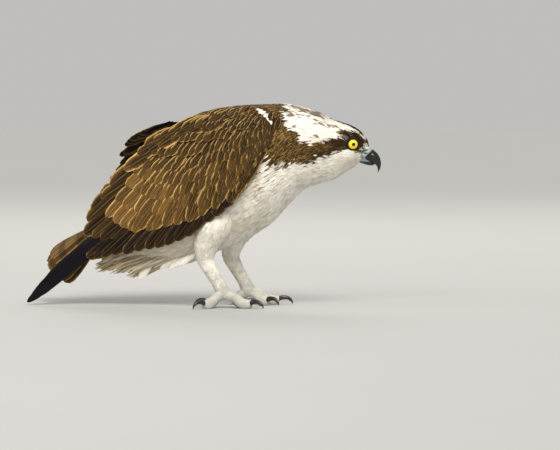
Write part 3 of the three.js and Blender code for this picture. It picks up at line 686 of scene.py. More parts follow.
# Rows of the wing's feathers from the longest to the smallest. Pairs run from a row's front lower end to its
# back upper end; angle is how far a feather leans from the wing's axis towards its lower edge.
wingRows = {
    "primaries": {
        "count": 9, "lift": (1.8, 0.4), "angle": (0, 3), "length": (190, 250), "width": (16, 14),
        "tones": ("blueBlack", "black"), "point": 4.5, "fringe": 0.02, "loose": 0.3,
        "tips": [(350, 13), (376, 17), (402, 18), (424, 16), (440, 13), (451, 10), (459, 7)]},
    "secondaries": {
        "count": 19, "lift": (1.0, 1.8), "angle": (32, 2), "length": (90, 135), "width": (19, 20),
        "tones": ("black", "deepBrown"), "point": 1.5, "fringe": 0.30, "loose": 0.6,
        "tips": [(84, -46), (112, -56), (154, -59), (200, -57), (240, -48), (276, -30), (318, -10),
                 (346, 6)]},
    "tertials": {
        "count": 8, "lift": (2.4, 3.4), "angle": (6, -3), "length": (110, 150), "width": (22, 23),
        "tones": ("deepBrown", "brown"), "point": 1.5, "fringe": 0.50,
        "tips": [(296, 4), (318, 18), (330, 34), (316, 50), (292, 60), (262, 68)]},
    "greater": {
        "count": 23, "lift": (3.2, 4.0), "angle": (44, 4), "length": (62, 88), "width": (14, 16),
        "tones": ("warmBrown", "brown"), "point": 1.7, "fringe": 0.95, "glow": 1.6,
        "tips": [(98, -45), (134, -50), (172, -48), (200, -38), (232, -24), (262, -6), (276, 14), (288, 36)]},
    "greaterUpper": {
        "count": 21, "lift": (3.8, 4.5), "angle": (44, 4), "length": (54, 72), "width": (13, 15),
        "tones": ("warmBrown", "brown"), "point": 1.7, "fringe": 0.90, "glow": 1.6,
        "tips": [(86, -39), (122, -41), (160, -35), (192, -23), (222, -8), (248, 12), (262, 44)]},
    "median": {
        "count": 22, "lift": (4.4, 5.1), "angle": (42, 4), "length": (46, 58), "width": (12.5, 13.5),
        "tones": ("warmBrown", "brown"), "point": 1.7, "fringe": 1.0, "glow": 1.6,
        "tips": [(74, -33), (108, -30), (148, -19), (182, -7), (210, 10), (228, 32), (238, 56)]},
    "medianUpper": {
        "count": 20, "lift": (4.8, 5.4), "angle": (43, 3), "length": (38, 48), "width": (11.5, 12.5),
        "tones": ("brown", "warmBrown"), "point": 1.6, "fringe": 0.85, "glow": 0.8,
        "tips": [(64, -27), (94, -21), (130, -8), (168, 8), (200, 32), (222, 60)]},
    "lesserLow": {
        "count": 20, "lift": (5.2, 5.8), "angle": (44, 2), "length": (32, 42), "width": (10.5, 11.5),
        "tones": ("brown", "deepBrown"), "point": 1.6, "fringe": 0.80,
        "tips": [(54, -20), (80, -12), (114, 4), (152, 24), (188, 46), (208, 66)]},
    "lesserMid": {
        "count": 20, "lift": (5.7, 6.3), "angle": (44, 2), "length": (28, 38), "width": (9.5, 10.5),
        "tones": ("brown", "deepBrown"), "point": 1.6, "fringe": 0.78,
        "tips": [(44, -14), (68, -3), (100, 13), (134, 33), (166, 55), (184, 74)]},
    "lesserHigh": {
        "count": 20, "lift": (6.0, 6.8), "angle": (44, 0), "length": (22, 32), "width": (8, 9.5),
        "tones": ("brown", "deepBrown"), "point": 1.6, "fringe": 0.72,
        "tips": [(34, -9), (55, 4), (84, 24), (114, 45), (146, 68)]},
    "marginal": {
        "count": 20, "lift": (6.3, 7.0), "angle": (42, 0), "length": (16, 25), "width": (6.5, 8.5),
        "tones": ("deepBrown", "black"), "point": 1.5, "fringe": 0.75,
        "tips": [(25, -4), (42, 11), (68, 33), (100, 58)]},
    "leading": {
        "count": 19, "lift": (6.0, 6.8), "angle": (38, 0), "length": (12, 19), "width": (5.5, 7.5),
        "tones": ("deepBrown", "black"), "point": 1.5, "fringe": 0.75,
        "tips": [(16, -2), (31, 16), (54, 40), (82, 62)]},
    "frontLow": {
        "count": 17, "lift": (4.2, 2.4), "angle": (40, 26), "length": (16, 40), "width": (8, 13),
        "tones": ("brown", "deepBrown"), "point": 1.6, "fringe": 0.60,
        "tips": [(8, -11), (24, -20), (46, -31), (72, -42), (98, -52), (122, -58)]},
    "frontMid": {
        "count": 17, "lift": (5.2, 3.6), "angle": (44, 34), "length": (14, 34), "width": (7.5, 12),
        "tones": ("brown", "deepBrown"), "point": 1.6, "fringe": 0.65,
        "tips": [(9, -4), (22, -13), (42, -24), (66, -35), (92, -45)]},
    "frontHigh": {
        "count": 14, "lift": (6.0, 4.8), "angle": (44, 40), "length": (12, 26), "width": (7, 10),
        "tones": ("deepBrown", "brown"), "point": 1.6, "fringe": 0.70,
        "tips": [(10, 3), (24, -6), (44, -17), (64, -28)]},
    "edging": {
        "count": 15, "lift": (5.6, 6.2), "angle": (34, 0), "length": (9, 15), "width": (5, 7),
        "tones": ("deepBrown", "brown"), "point": 1.5, "fringe": 0.70,
        "tips": [(12, 6), (22, 20), (40, 38), (58, 50)]},
    "wristWhite": {
        "count": 26, "lift": (6.4, 7.0), "angle": (52, 22), "length": (5, 6), "width": (3.0, 3.4),
        "tones": ("white", "white"), "point": 1.5, "fringe": 0.0,
        "tips": [(9, -4), (10, 4), (12, 13), (18, 26)], "loose": 0.3},
    "scapulars": {
        "count": 13, "lift": (6.0, 7.4), "angle": (-6, -4), "length": (40, 80), "width": (14, 18),
        "tones": ("brown", "deepBrown"), "point": 1.5, "fringe": 0.90,
        "tips": [(88, 48), (116, 59), (152, 70), (190, 76), (232, 74)]},
    "scapularsHigh": {
        "count": 12, "lift": (6.4, 8.0), "angle": (-10, -6), "length": (28, 56), "width": (12, 15),
        "tones": ("brown", "deepBrown"), "point": 1.5, "fringe": 0.85,
        "tips": [(76, 52), (100, 62), (130, 72), (164, 80), (198, 84)]},
}
vaneShape = {
    "stations": 15, "across": 7, "tipRows": 7, "thick": 0.7, "rootDepth": 1.2, "stray": 1.7,
    "strayDegrees": 3.2, "spread": (0.95, 1.22), "tipShare": (0.03, 0.45), "rootWidth": 0.45,
    "ragged": 0.06, "tilt": 0.6, "cup": 0.7, "frontLift": 0.35, "frontReach": 48,
    "light": (0.5, 1.25), "pale": (0.8, 1.4),
}


# One row of a wing: tips along a smooth line, each feather reaching back to its root on the wing's face.
# The vane keeps its width and closes at its end in part of an ellipse.
def wingRow(place, row):
    n, stations, across = row["count"], vaneShape["stations"], vaneShape["across"]
    share = np.linspace(0, 1, n)
    loose = row.get("loose", 1.0)
    tips = curveThrough(row["tips"], share) + rng.normal(0, vaneShape["stray"], (n, 2)) * loose
    lean = np.radians(between(row["angle"], share) + rng.normal(0, vaneShape["strayDegrees"], n) * loose)
    length = between(row["length"], share)
    half = between(row["width"], share) / 2 * rng.uniform(*vaneShape["spread"], n)
    endShare = np.clip(half * row["point"] * 1.2 / length, *vaneShape["tipShare"])[:, None]
    straight = np.linspace(0, 1, stations - vaneShape["tipRows"])[None] * (1 - endShare)
    rounded = 1 - endShare * (1 - np.linspace(0, 1, vaneShape["tipRows"] + 1)[1:]) ** 1.5
    s = np.concatenate([straight, rounded], axis=1)
    t = np.clip((s - (1 - endShare)) / endShare, 0, 1)
    broad = growing(vaneShape["rootWidth"], 0, 0.35, s) * np.sqrt(np.clip(1 - 0.995 * t ** 2, 0, 1))
    e = np.linspace(-1, 1, across)
    along = np.stack([np.cos(lean), -np.sin(lean)], -1)
    cross = np.stack([np.sin(lean), np.cos(lean)], -1)
    tears = rng.normal(0, 1, (n, stations, across)) * (np.abs(e) > 0.9) * (s > 0.4)[..., None]
    middle = tips[:, None, :] + along[:, None, :] * ((s - 1) * length[:, None])[..., None]
    spread = e * half[:, None, None] * broad[..., None] * (1 + vaneShape["ragged"] * tears)
    at = middle[:, :, None, :] + cross[:, None, None, :] * spread[..., None]
    # from under the row before it up to its lift, lower at the wing's front, tilted and cupped across
    lift = between(row["lift"], share) + rng.normal(0, 0.15, n)
    depth = vaneShape["rootDepth"]
    rise = -depth + (lift[:, None, None] + depth) * np.minimum(1, s * 1.5)[..., None]
    rise = rise * growing(vaneShape["frontLift"], 0, vaneShape["frontReach"], at[..., 0])
    rise = rise + (vaneShape["tilt"] * e - vaneShape["cup"] * e ** 2) * np.minimum(1, s * 2)[..., None]
    top = wingPoint(place, at[..., 0], at[..., 1], rise)
    over = wingPoint(place, at[..., 0], at[..., 1], rise + 1)
    tones = [shade[name] for name in row["tones"]]
    glow = 1 + row.get("glow", 0.0) * smooth(0.25, 0.95, share + rng.normal(0, 0.12, n))
    colour = mix(*tones, rng.random(n)) * (rng.uniform(*vaneShape["light"], n) * glow)[:, None]
    fringe = row["fringe"] * rng.uniform(*vaneShape["pale"], n) * (0.7 + 0.45 * share)
    return top, unit(over - top), {"colour": colour, "fringe": fringe}


# All rows of one wing
def makeWing(side, rows):
    made = [wingRow(wingPlaces[side], row) for row in rows.values()]
    top, normal = (np.concatenate([one[k] for one in made]) for k in (0, 1))
    look = {key: np.concatenate([one[2][key] for one in made]) for key in made[0][2]}
    look["thick"] = vaneShape["thick"]
    return makeFeathers(f"wing_feathers_{side}", top, normal, look, *inCells(len(top)))


# The arm under the coverts: an outer and an inner sheet on the wing's face, closed round their border,
# thickest at the wrist and thinning to the tail
arm = {"along": (0.006, 0.64), "across": (0.06, 0.95), "rows": 72, "columns": 30, "blunt": 0.08,
       "outer": 3.6, "outerDepth": 0.8, "thick": 15.0, "innerDepth": 1.4}


def makeArm(side):
    place = wingPlaces[side]
    alongs, acrosses = np.linspace(*arm["along"], arm["rows"]), np.linspace(*arm["across"], arm["columns"])
    u, q = np.meshgrid(alongs, acrosses, indexing="ij")
    across = between((track(wing["lowerEdge"], u), track(wing["upperEdge"], u)), q)
    edge = 1 - np.abs(2 * q - 1) ** 3
    tail = smooth(arm["along"][1], arm["along"][0], u)
    wrist = np.sqrt(np.clip(u / arm["blunt"], 0, 1))
    rise = arm["outer"] * edge * wrist * tail - arm["outerDepth"] - place["sink"] * q ** 2
    fall = arm["innerDepth"] + (1 + arm["thick"] * tail ** 0.7) * wrist * (0.3 + 0.7 * edge)
    outer = wingPoint(place, u * wing["length"], across, rise)
    inner = wingPoint(place, u * wing["length"], across, -fall)
    points, faces = closedTube(np.concatenate([outer, inner[:, ::-1]], axis=1))
    colours = np.tile(shade["deepBrown"], (len(points), 1))
    ring = np.concatenate([q * 0.5, 1 - q[:, ::-1] * 0.5], 1)
    spots = np.stack([ring, np.concatenate([u, u], 1)], -1).reshape(-1, 2)
    spots = np.vstack([spots, [[0.5, 0]], [[0.5, 1]]])
    return makePiece(f"wing_arm_{side}", points, faces, uv={"OFBake": spots}, colours=colours)


# The far wing, which the photograph shows only past the back: its primaries end shorter, behind the tail,
# its upper rows lie lower and further in, and a row of loose dark tips stands at its upper edge
farWing = {
    "shorter": 40.0, "lower": 5, "inward": 7, "lowered": ("scapulars", "scapularsHigh", "leading"),
    "farTips": {
        "count": 9, "lift": (2.0, 4.0), "angle": (-13, -3), "length": (60, 90), "width": (11, 13),
        "tones": ("black", "deepBrown"), "point": 3.6, "fringe": 0.2,
        "tips": [(200, 99), (217, 99), (231, 97), (247, 88), (268, 76)]},
}


def farRows():
    long = wingRows["primaries"]
    tips = [(along - farWing["shorter"], across) for along, across in long["tips"]]
    rows = {**wingRows, "primaries": {**long, "tips": tips}, "farTips": farWing["farTips"]}
    for key in farWing["lowered"]:
        row = rows[key]
        tips = [(along, across - farWing["inward"]) for along, across in row["tips"]]
        rows[key] = {**row, "lift": [one - farWing["lower"] for one in row["lift"]], "tips": tips}
    return rows


for side, rows in (("right", wingRows), ("left", farRows())):
    dress(makeWing(side, rows), "plumage_brown", f"wing_{side}")
    settle(makeArm(side), skinPaint, "plumage_brown", f"wing_{side}")
print("wings made")

# The tail: twelve feathers fanned a little, rolled right side down
tail = {"root": (-100, 187), "tip": (-262, 54), "halfWidth": 38.0, "roll": 46.0, "droop": 0.004, "count": 12,
        "stations": 17, "across": 7, "past": 3, "rounding": 9, "stray": 1.5, "featherHalf": 11.2,
        "tipFrom": 0.92, "thick": 0.8, "step": 1.1, "sunk": 3}
tailStart = np.array([tail["root"][0], 0, tail["root"][1]], float)
tailEnd = np.array([tail["tip"][0], 0, tail["tip"][1]], float)
tailLength = np.linalg.norm(tailEnd - tailStart)


# A point on the tail: along its axis, across it and lifted off it; the roll sets in along the way, and both
# sides droop by the square of the distance across
def tailPoint(along, across, lift):
    back = unit(tailEnd - tailStart)
    up = unit(np.cross([0, 1.0, 0], back))
    roll = -math.radians(tail["roll"]) * smooth(20, tailLength, along)[..., None]
    upTurned = up * np.cos(roll) + np.cross(back, up) * np.sin(roll)
    sideTurned = np.cross(back, upTurned)
    height = (lift - tail["droop"] * across ** 2)[..., None]
    return tailStart + back * along[..., None] + sideTurned * across[..., None] + upTurned * height


# Feathers side by side: the middle ones longest and on top, the outer ones spread towards their tips
def makeTail():
    n = tail["count"]
    middle = (n - 1) / 2
    index = np.arange(n)
    share = index / middle - 1
    length = tailLength + tail["past"] - tail["rounding"] * share ** 2 + rng.normal(0, tail["stray"], n)
    s = 1 - 0.93 * (1 - np.linspace(0, 1, tail["stations"])) ** 1.25
    t = np.clip((s - tail["tipFrom"]) / (1 - tail["tipFrom"]), 0, 1)
    broad = growing(0.35, 0.1, 0.6, s) * np.sqrt(1 - 0.96 * t ** 2)
    fan = growing(0.22, 0, 1, s)[None, :, None]
    e = np.linspace(-1, 1, tail["across"])
    half = tail["featherHalf"] * broad[None, :, None] * e
    acrossAt = (share * tail["halfWidth"] * 0.95)[:, None, None] * fan + half
    level = (tail["step"] * (middle - np.abs(index - middle)) - tail["sunk"])[:, None, None] * fan
    level = level - 0.5 * e * np.sign(share)[:, None, None] - 0.4 * e ** 2
    alongAt = length[:, None, None] * s[None, :, None] + 0 * acrossAt
    top = tailPoint(alongAt, acrossAt, level)
    over = tailPoint(alongAt, acrossAt, level + 1)
    colour = mix(shade["deepBrown"], shade["brown"], rng.random(n))
    look = {"thick": tail["thick"], "colour": colour, "fringe": rng.uniform(0.35, 0.7, n),
            "bars": np.full(n, 0.5)}
    return makeFeathers("tail_feathers", top, unit(over - top), look, *inCells(n))


dress(makeTail(), "plumage_brown", "tail")

# Coverts over and under the tail's base, laid on a flattened tube round its axis
coverts = {"length": (34, 46), "half": (6, 8), "gap": 7.0, "reach": 0.62, "radii": (15, 4), "flat": 1.6,
           "spread": 6, "sunk": 4, "depth": 2.0, "curl": 0.8, "thick": 0.5}


def tailTube(u, angle, lift):
    radius = between(coverts["radii"], u)
    across = (radius * coverts["flat"] + coverts["spread"] * u + lift) * np.sin(angle)
    height = (radius + lift) * np.cos(angle) - coverts["sunk"] * (1 - u)
    return tailPoint(u * tailLength * coverts["reach"], across, height)


def makeTailCoverts():
    u, v = scatter(tailTube, 0.15, 0.86, lambda place: coverts["gap"])
    n = len(u)
    above = smooth(-0.1, 0.3, np.cos(v))
    shape = {"length": rng.uniform(*coverts["length"], n) * (1 - 0.35 * above),
             "half": rng.uniform(*coverts["half"], n), "lean": rng.normal(0, 0.08, n),
             "bend": rng.normal(0, 0.03, n), "depth": coverts["depth"], "lift": rng.uniform(0.8, 3.0, n),
             "curl": coverts["curl"]}
    pale = mix(shade["white"], shade["cream"], rng.uniform(0.1, 0.8, n))
    colour = mix(pale, mix(shade["brown"], shade["gold"], rng.random(n) * 0.4), above)
    look = {"thick": coverts["thick"], "colour": colour, "fringe": above * 0.7}
    top, normal = layFeathers(tailTube, u, v, 1, shape, plumeOutline, across=5)
    return makeFeathers("tail_coverts", top, normal, look, spotsOf(u, v), rootPatch)


dress(makeTailCoverts(), "plumage_white", "tail")
print("tail made")

# Skin of head, neck, torso and thighs in one piece, inside the coat by its depth
coat = {
    "at": [0, 0.2, 0.43, 0.6, 0.75, 0.9, 1.0],
    "skinDepth": [4.0, 4.0, 3.2, 2.2, 1.4, 1.0, 0.8],
    "length": [34, 38, 30, 19, 11.5, 7.0, 4.4],
    "half": [3.9, 4.0, 3.1, 1.9, 1.2, 0.85, 0.62],
    "gap": [4.8, 4.8, 3.6, 2.35, 1.65, 1.25, 1.05],
    "lift": [1.6, 1.3, 0.9, 0.7, 0.45, 0.3, 0.2], "thick": 0.25,
}
# Shares of the one sheet that the body's skin and each leg's skin take
sheet = {"body": 0.7, "legFrom": 0.72, "legStep": 0.13, "legWide": 0.12}
skinMesh = {"rows": 200, "sides": 120, "legRows": 50, "legSides": 40, "thighDepth": 2.4}


# A coat's measure at u, by straight stretches between its stations
def coatAt(key, u):
    return np.interp(u, coat["at"], coat[key])


# Places of a leg's points on the sheet
def legSpots(leg, u, angle):
    start = sheet["legFrom"] + sheet["legStep"] * (leg["side"] > 0)
    return np.stack([start + u * sheet["legWide"], angle / (2 * np.pi) * sheet["body"]], -1)


def makeSkin():
    u, angle = ringGrid(skinMesh["rows"], skinMesh["sides"])
    parts = [closedTube(bodyPoint(u, angle, -coatAt("skinDepth", u)))]
    ends = [[0, sheet["body"] / 2], [sheet["body"], sheet["body"] / 2]]
    spots = [spotsOf(u, angle).reshape(-1, 2) * sheet["body"], ends]
    for leg in legs.values():
        u, angle = ringGrid(skinMesh["legRows"], skinMesh["legSides"])
        parts.append(closedTube(limbPoint(onLeg(thighShape, leg), u, angle, 0 * u - skinMesh["thighDepth"])))
        legUv = legSpots(leg, u, angle).reshape(-1, 2)
        spots += [legUv, legUv[:1], legUv[-1:]]
    points, faces = together(parts)
    colours, _ = plumage(points)
    x, z = points[:, 0], points[:, 2]
    bare = smooth(*lores["front"], x) * smooth(*lores["top"], z) * smooth(*lores["bottom"], z)
    colours = mix(colours, np.array(lores["skin"]), bare)
    return makePiece("skin", points, faces, uv={"OFBake": np.vstack(spots)}, colours=colours)


settle(makeSkin(), skinPaint, "plumage_white", "torso", "neck", "head", "thigh_right", "thigh_left")
print("skin made")

# Where no body feather is rooted: under the folded wing inside its outline by a margin, round an eye, and
# on the bill and its base. Feathers that reach over an eye's lids are shortened or left out.
bareFlank = {"margin": 14, "along": (26, 400), "middle": 14}
bareFace = {"eye": 11.4, "lids": 9.0, "billFrom": 205.5, "billWide": 9.6, "billHeights": (206, 233),
            "base": (212, 220.5), "baseSize": (8.5, 9.6)}


def underWing(points):
    x, z = points[..., 0] - wing["wrist"][0], points[..., 2] - wing["wrist"][1]
    along = -wing["along"] * x - wing["down"] * z
    across = -wing["down"] * x + wing["along"] * z
    low = track(wing["lowerEdge"], along / wing["length"]) + bareFlank["margin"]
    high = track(wing["upperEdge"], along / wing["length"]) - bareFlank["margin"]
    front, back = bareFlank["along"]
    inside = (across > low) & (across < high) & (along > front) & (along < back)
    return inside & (np.abs(points[..., 1]) > bareFlank["middle"])


def onBill(points):
    x, y, z = points[..., 0], np.abs(points[..., 1]), points[..., 2]
    low, high = bareFace["billHeights"]
    box = (x > bareFace["billFrom"]) & (y < bareFace["billWide"]) & (z < high) & (z > low)
    (cx, cz), (rx, rz) = bareFace["base"], bareFace["baseSize"]
    return box | (((x - cx) / rx) ** 2 + ((z - cz) / rz) ** 2 < 1)


# The way an eye looks, straight up, and the way square to both
def gazeOf(side, degrees=bird["gazeDegrees"]):
    a = math.radians(degrees)
    ahead = np.array([math.sin(a), side * math.cos(a), 0])
    return ahead, np.array([0, 0, 1.0]), np.cross(ahead, [0, 0, 1.0])


# Which feathers reach over an eye's lids: any point within the lids' width of the line the eye looks along
def overLids(top):
    ahead = gazeOf(1)[0]
    away = folded(top) - np.array(bird["eye"])
    out = away @ ahead
    apart = np.linalg.norm(away - out[..., None] * ahead, axis=-1)
    return ((apart < bareFace["lids"]) & (out > 0)).any(axis=(1, 2))


# Body feathers from the tail's root to the face, longest under the tail and smallest at the bill. They lie
# looser at the belly's end, the nape and the chin, broader on the mantle, and part round the eye.
def makeCoat():
    u, v = scatter(bodyPoint, 0.004, 0.992, lambda place: float(coatAt("gap", place)))
    root = bodyPoint(u, v, np.zeros(len(u)))
    fromEye = awayFrom(root, bird["eye"])
    keep = ~underWing(root) & (fromEye > bareFace["eye"]) & ~onBill(root)
    u, v, root, fromEye = u[keep], v[keep], root[keep], fromEye[keep]
    n = len(u)
    colour, dark = plumage(root + rng.normal(0, 0.7, root.shape))
    belly = smooth(0.2, -0.7, np.cos(v))
    rear = smooth(0.24, 0.10, u)
    mantle = dark * smooth(0.80, 0.56, u)
    chin = smooth(0.55, 0.7, u) * belly
    nape = smooth(0.5, 0.56, u) * smooth(0.74, 0.64, u) * smooth(0.3, 0.9, np.cos(v))
    length = coatAt("length", u) * rng.uniform(0.8, 1.2, n) * (1 + 0.45 * rear * belly)
    length = length * (1 + 0.3 * nape + 0.25 * chin)
    half = coatAt("half", u) * rng.uniform(0.75, 1.15, n) * (1 + 0.7 * mantle)
    tuft = wobble(root * [0.6, 1, 1], 16, 51)
    lift = coatAt("lift", u) * (rng.uniform(0.3, 1.4, n) + 0.6 * tuft)
    lift = lift * (1 + 1.2 * rear * belly + 0.7 * chin + 0.9 * nape)
    flow = np.clip((root[:, 0] - bird["eye"][0]) / 9, -1, 1)
    aroundEye = np.exp(-((fromEye - bareFace["eye"]) / 5) ** 2)
    aroundEye = aroundEye * np.sign(root[:, 2] - bird["eye"][2]) * -np.sign(root[:, 1])
    lean = rng.normal(0, 0.09, n) + 0.22 * wobble(root, 26, 52) + aroundEye * flow * -0.5
    shape = {"length": length, "half": half, "lean": lean, "bend": rng.normal(0, 0.05, n),
             "depth": coatAt("skinDepth", u) * 0.9, "lift": lift, "curl": half * 0.10}
    look = {"colour": colour * rng.uniform(0.88, 1.10, n)[:, None], "streak": breastStreak(root) * (1 - dark),
            "fringe": mantle * rng.uniform(0.25, 0.85, n), "thick": np.full(n, coat["thick"])}
    top, normal = layFeathers(bodyPoint, u, v, -1, shape, plumeOutline)
    shape["length"] = length * np.where(overLids(top), 0.5, 1)
    top, normal = layFeathers(bodyPoint, u, v, -1, shape, plumeOutline)
    clear = ~overLids(top)
    look = {key: value[clear] for key, value in look.items()}
    roots = spotsOf(u, v)[clear] * sheet["body"]
    return makeFeathers("coat_body", top[clear], normal[clear], look, roots, rootPatch)


dress(makeCoat(), "plumage_white", "torso", "neck", "head")

# Feathers of the thighs, which run down and end loose over the shanks. Pairs run from the top to the end.
trousers = {"length": (34, 8), "half": (3.2, 1.1), "gap": (3.5, 1.5), "lift": (1.1, 0.25),
            "depth": (2.0, 0.8), "curl": 0.2, "thick": 0.25, "to": 0.74,
            "points": [(4, 34, 152), (-6, 40, 122), (-18, 40, 94), (-20.5, 37.5, 71), (-17.5, 37, 62),
                       (-12, 37, 53)],
            "radii": [27, 26.5, 18.5, 12.0, 10.7, 9.9]}


def makeTrousers(name, leg):
    line = onLeg(trousers, leg)
    surface = lambda u, v, lift: limbPoint(line, u, v, lift)
    u, v = scatter(surface, 0.02, trousers["to"], lambda place: between(trousers["gap"], place))
    root = surface(u, v, 0 * u)
    n = len(u)
    colour, _ = plumage(root)
    colour = mix(colour, shade["white"], smooth(0.1, 0.4, u) * 0.75) * rng.uniform(0.90, 1.08, n)[:, None]
    pick = lambda key: between(trousers[key], u)
    shape = {"length": pick("length") * rng.uniform(0.8, 1.2, n),
             "half": pick("half") * rng.uniform(0.8, 1.2, n),
             "lean": rng.normal(0, 0.10, n) + 0.2 * wobble(root, 22, 53), "bend": rng.normal(0, 0.05, n),
             "depth": pick("depth"), "lift": pick("lift") * rng.uniform(0.2, 1.5, n),
             "curl": trousers["curl"]}
    top, normal = layFeathers(surface, u, v, 1, shape, plumeOutline)
    look = {"thick": trousers["thick"], "colour": colour}
    return makeFeathers(f"coat_thigh_{name}", top, normal, look, legSpots(leg, u, v), rootPatch)


for name, leg in legs.items():
    dress(makeTrousers(name, leg), "plumage_white", f"thigh_{name}")
print("coat made")

# Short feathers on the shank, fewer towards the foot
stocking = {"length": (11, 5), "half": (1.1, 0.7), "gap": 1.5, "reach": 0.60, "depth": 0.6, "curl": 0.08,
            "thick": 0.2}


def makeStocking(name, leg):
    line = onLeg(shankShape, leg)
    surface = lambda u, v, lift: limbPoint(line, np.clip(u, 0, 1), v, lift)
    u, v = scatter(surface, 0.03, stocking["reach"], lambda place: stocking["gap"])
    keep = rng.random(len(u)) < smooth(stocking["reach"], stocking["reach"] * 0.6, u)
    u, v = u[keep], v[keep]
    n = len(u)
    share = u / stocking["reach"]
    shape = {"length": between(stocking["length"], share), "half": between(stocking["half"], share),
             "lean": rng.normal(0, 0.1, n), "bend": rng.normal(0, 0.04, n), "depth": stocking["depth"],
             "lift": rng.uniform(0.1, 0.4, n), "curl": stocking["curl"]}
    colour = mix(shade["white"], shade["cream"], rng.uniform(0, 0.3, n)) * rng.uniform(0.85, 1.08, n)[:, None]
    top, normal = layFeathers(surface, u, v, 1, shape, wispOutline)
    look = {"thick": stocking["thick"], "colour": colour}
    return makeFeathers(f"coat_shank_{name}", top, normal, look, spotsOf(u, v), rootPatch)


# Hanging vanes from their roots along their runs, each square to its own outward way: arched along, cupped
# across, and closed to a point over the last part of its length
def hang(root, run, out, half, form):
    s, e = np.linspace(0, 1, form["stations"]), np.linspace(-1, 1, form["across"])
    side = unit(np.cross(run, out))
    face = unit(np.cross(side, run))
    closed = np.sqrt(1 - 0.97 * smooth(form["closing"], 1, s) ** 2)
    broad = growing(form["rootWidth"], 0, form["fullBy"], s) * closed
    arch = form["arch"] * (s - s ** 2)[None, :, None] - form["cup"] * e ** 2
    top = root[:, None, None] + run[:, None, None] * s[None, :, None, None]
    top = top + side[:, None, None] * (half[:, None, None] * broad[None, :, None] * e)[..., None]
    top = top + face[:, None, None] * arch[..., None]
    return top, np.broadcast_to(face[:, None, None], top.shape)


# Long soft feathers under the tail, from the belly's end along the tail's underside
vent = {"count": 300, "from": (-62, 68), "to": (-150, 70), "wide": 26.0, "length": (40, 66),
        "half": (1.9, 3.6), "slope": (17, 31), "thick": 0.4, "stations": 9, "across": 5,
        "rootWidth": 0.3, "fullBy": 0.35, "closing": 0.55, "arch": 5, "cup": 0.9}


def makeVent():
    n = vent["count"]
    share = np.sort(rng.random(n))
    side = rng.uniform(-1, 1, n)
    line = between(np.array([vent["from"], vent["to"]], float)[:, None], share[:, None])
    root = np.stack([line[:, 0], side * vent["wide"] * (1 - 0.35 * share), line[:, 1] + 9 * side ** 2], -1)
    slope = np.radians(rng.uniform(*vent["slope"], n))
    aim = np.stack([-np.cos(slope), 0.16 * side, -np.sin(slope)], -1)
    length = rng.uniform(*vent["length"], n) * (1 - 0.25 * share)
    out = unit(np.stack([0 * side, side * 1.2, -np.ones(n)], -1))
    top, normal = hang(root, aim * length[:, None], out, rng.uniform(*vent["half"], n), vent)
    pale = mix(shade["white"], shade["cream"], rng.uniform(0.5, 1.25, n)) * rng.uniform(0.75, 1.0, n)[:, None]
    roots = np.stack([0.05 + 0.6 * share, 0.35 + 0.3 * side], -1)
    return makeFeathers("coat_vent", top, normal, {"thick": vent["thick"], "colour": pale}, roots, rootPatch)


dress(makeVent(), "plumage_white", "torso")

# The one loose feather that hangs under the tail on the near side, and a few at the flank
loose = {
    "feathers": [
        {"root": (-98, -22, 74), "tip": (-122, -26, 38), "half": 5.6},
        {"root": (-46, -32, 74), "tip": (-76, -35, 54), "half": 3.6},
        {"root": (-40, -34, 76), "tip": (-66, -38, 58), "half": 3.4},
        {"root": (-34, -36, 78), "tip": (-58, -41, 60), "half": 3.2},
        {"root": (-58, -28, 70), "tip": (-90, -30, 55), "half": 3.6}],
    "thick": 0.5, "patch": 0.05, "stations": 11, "across": 5,
    "rootWidth": 0.25, "fullBy": 0.3, "closing": 0.7, "arch": 3, "cup": 0.8,
}


def makeLoose():
    pick = lambda key: np.array([one[key] for one in loose["feathers"]], float)
    root = pick("root")
    n = len(root)
    out = np.array([0, -1.0, 0]) * np.ones_like(root)
    top, normal = hang(root, pick("tip") - root, out, pick("half"), loose)
    look = {"thick": loose["thick"], "colour": np.tile(mix(shade["white"], shade["cream"], 0.15), (n, 1))}
    roots = np.stack([0.2 + 0.1 * np.arange(n), np.full(n, 0.5)], -1)
    return makeFeathers("loose_feathers", top, normal, look, roots, loose["patch"])


dress(makeLoose(), "plumage_white")

# Feet: scaled skin over the shanks and toes
footScales = {"cells": 760.0, "shank": 2.3, "ridge": 0.55, "ridgeEvery": 3.38, "pads": 0.48,
              "toeMesh": (90, 36), "shankMesh": (90, 44), "clawMesh": (40, 24)}


def footNodes(p):
    values = {"Vector": p.node("TexCoord", out="Object"), "Scale": footScales["cells"]}
    cells = p.node("TexVoronoi", {"feature": "DISTANCE_TO_EDGE"}, values)
    tone = p.noise(90.0, 4.0)
    colour = p.tint((0.74, 0.73, 0.66), (0.56, 0.55, 0.47), tone.step(0.35, 0.75))
    colour = p.tint(colour, (0.30, 0.28, 0.22), (1 - cells.step(0.02, 0.13)) * 0.40)
    bump = cells.step(0.0, 0.16).bump(0.7, 0.0006)
    return {"Base Color": colour, "Roughness": 0.48 + tone * 0.2, "Normal": bump}


footPaint = makeMaterial("foot skin", footNodes, {"Specular IOR Level": 0.45})


# Ridges across a toe: a rounded wave along it, strongest on top, and three pads below. The flat sole lies
# on the floor.
def toeSurface(line, kind):
    u, angle = ringGrid(*footScales["toeMesh"])
    height = unit(limbPoint(line, u, angle, 0 * u) - curveThrough(line["points"], u))[..., 2]
    scutes = np.abs(np.sin(u * kind["length"] / footScales["ridgeEvery"] * np.pi)) ** 0.5
    pads = smooth(-0.3, -0.9, height) * np.sin(u * 3 * np.pi) ** 2 * footScales["pads"]
    lift = (scutes - 0.8) * footScales["ridge"] * smooth(-0.1, 0.7, height) + pads
    points = limbPoint(line, u, angle, lift)
    points[..., 2] = np.maximum(points[..., 2], 0)
    return closedTube(points)


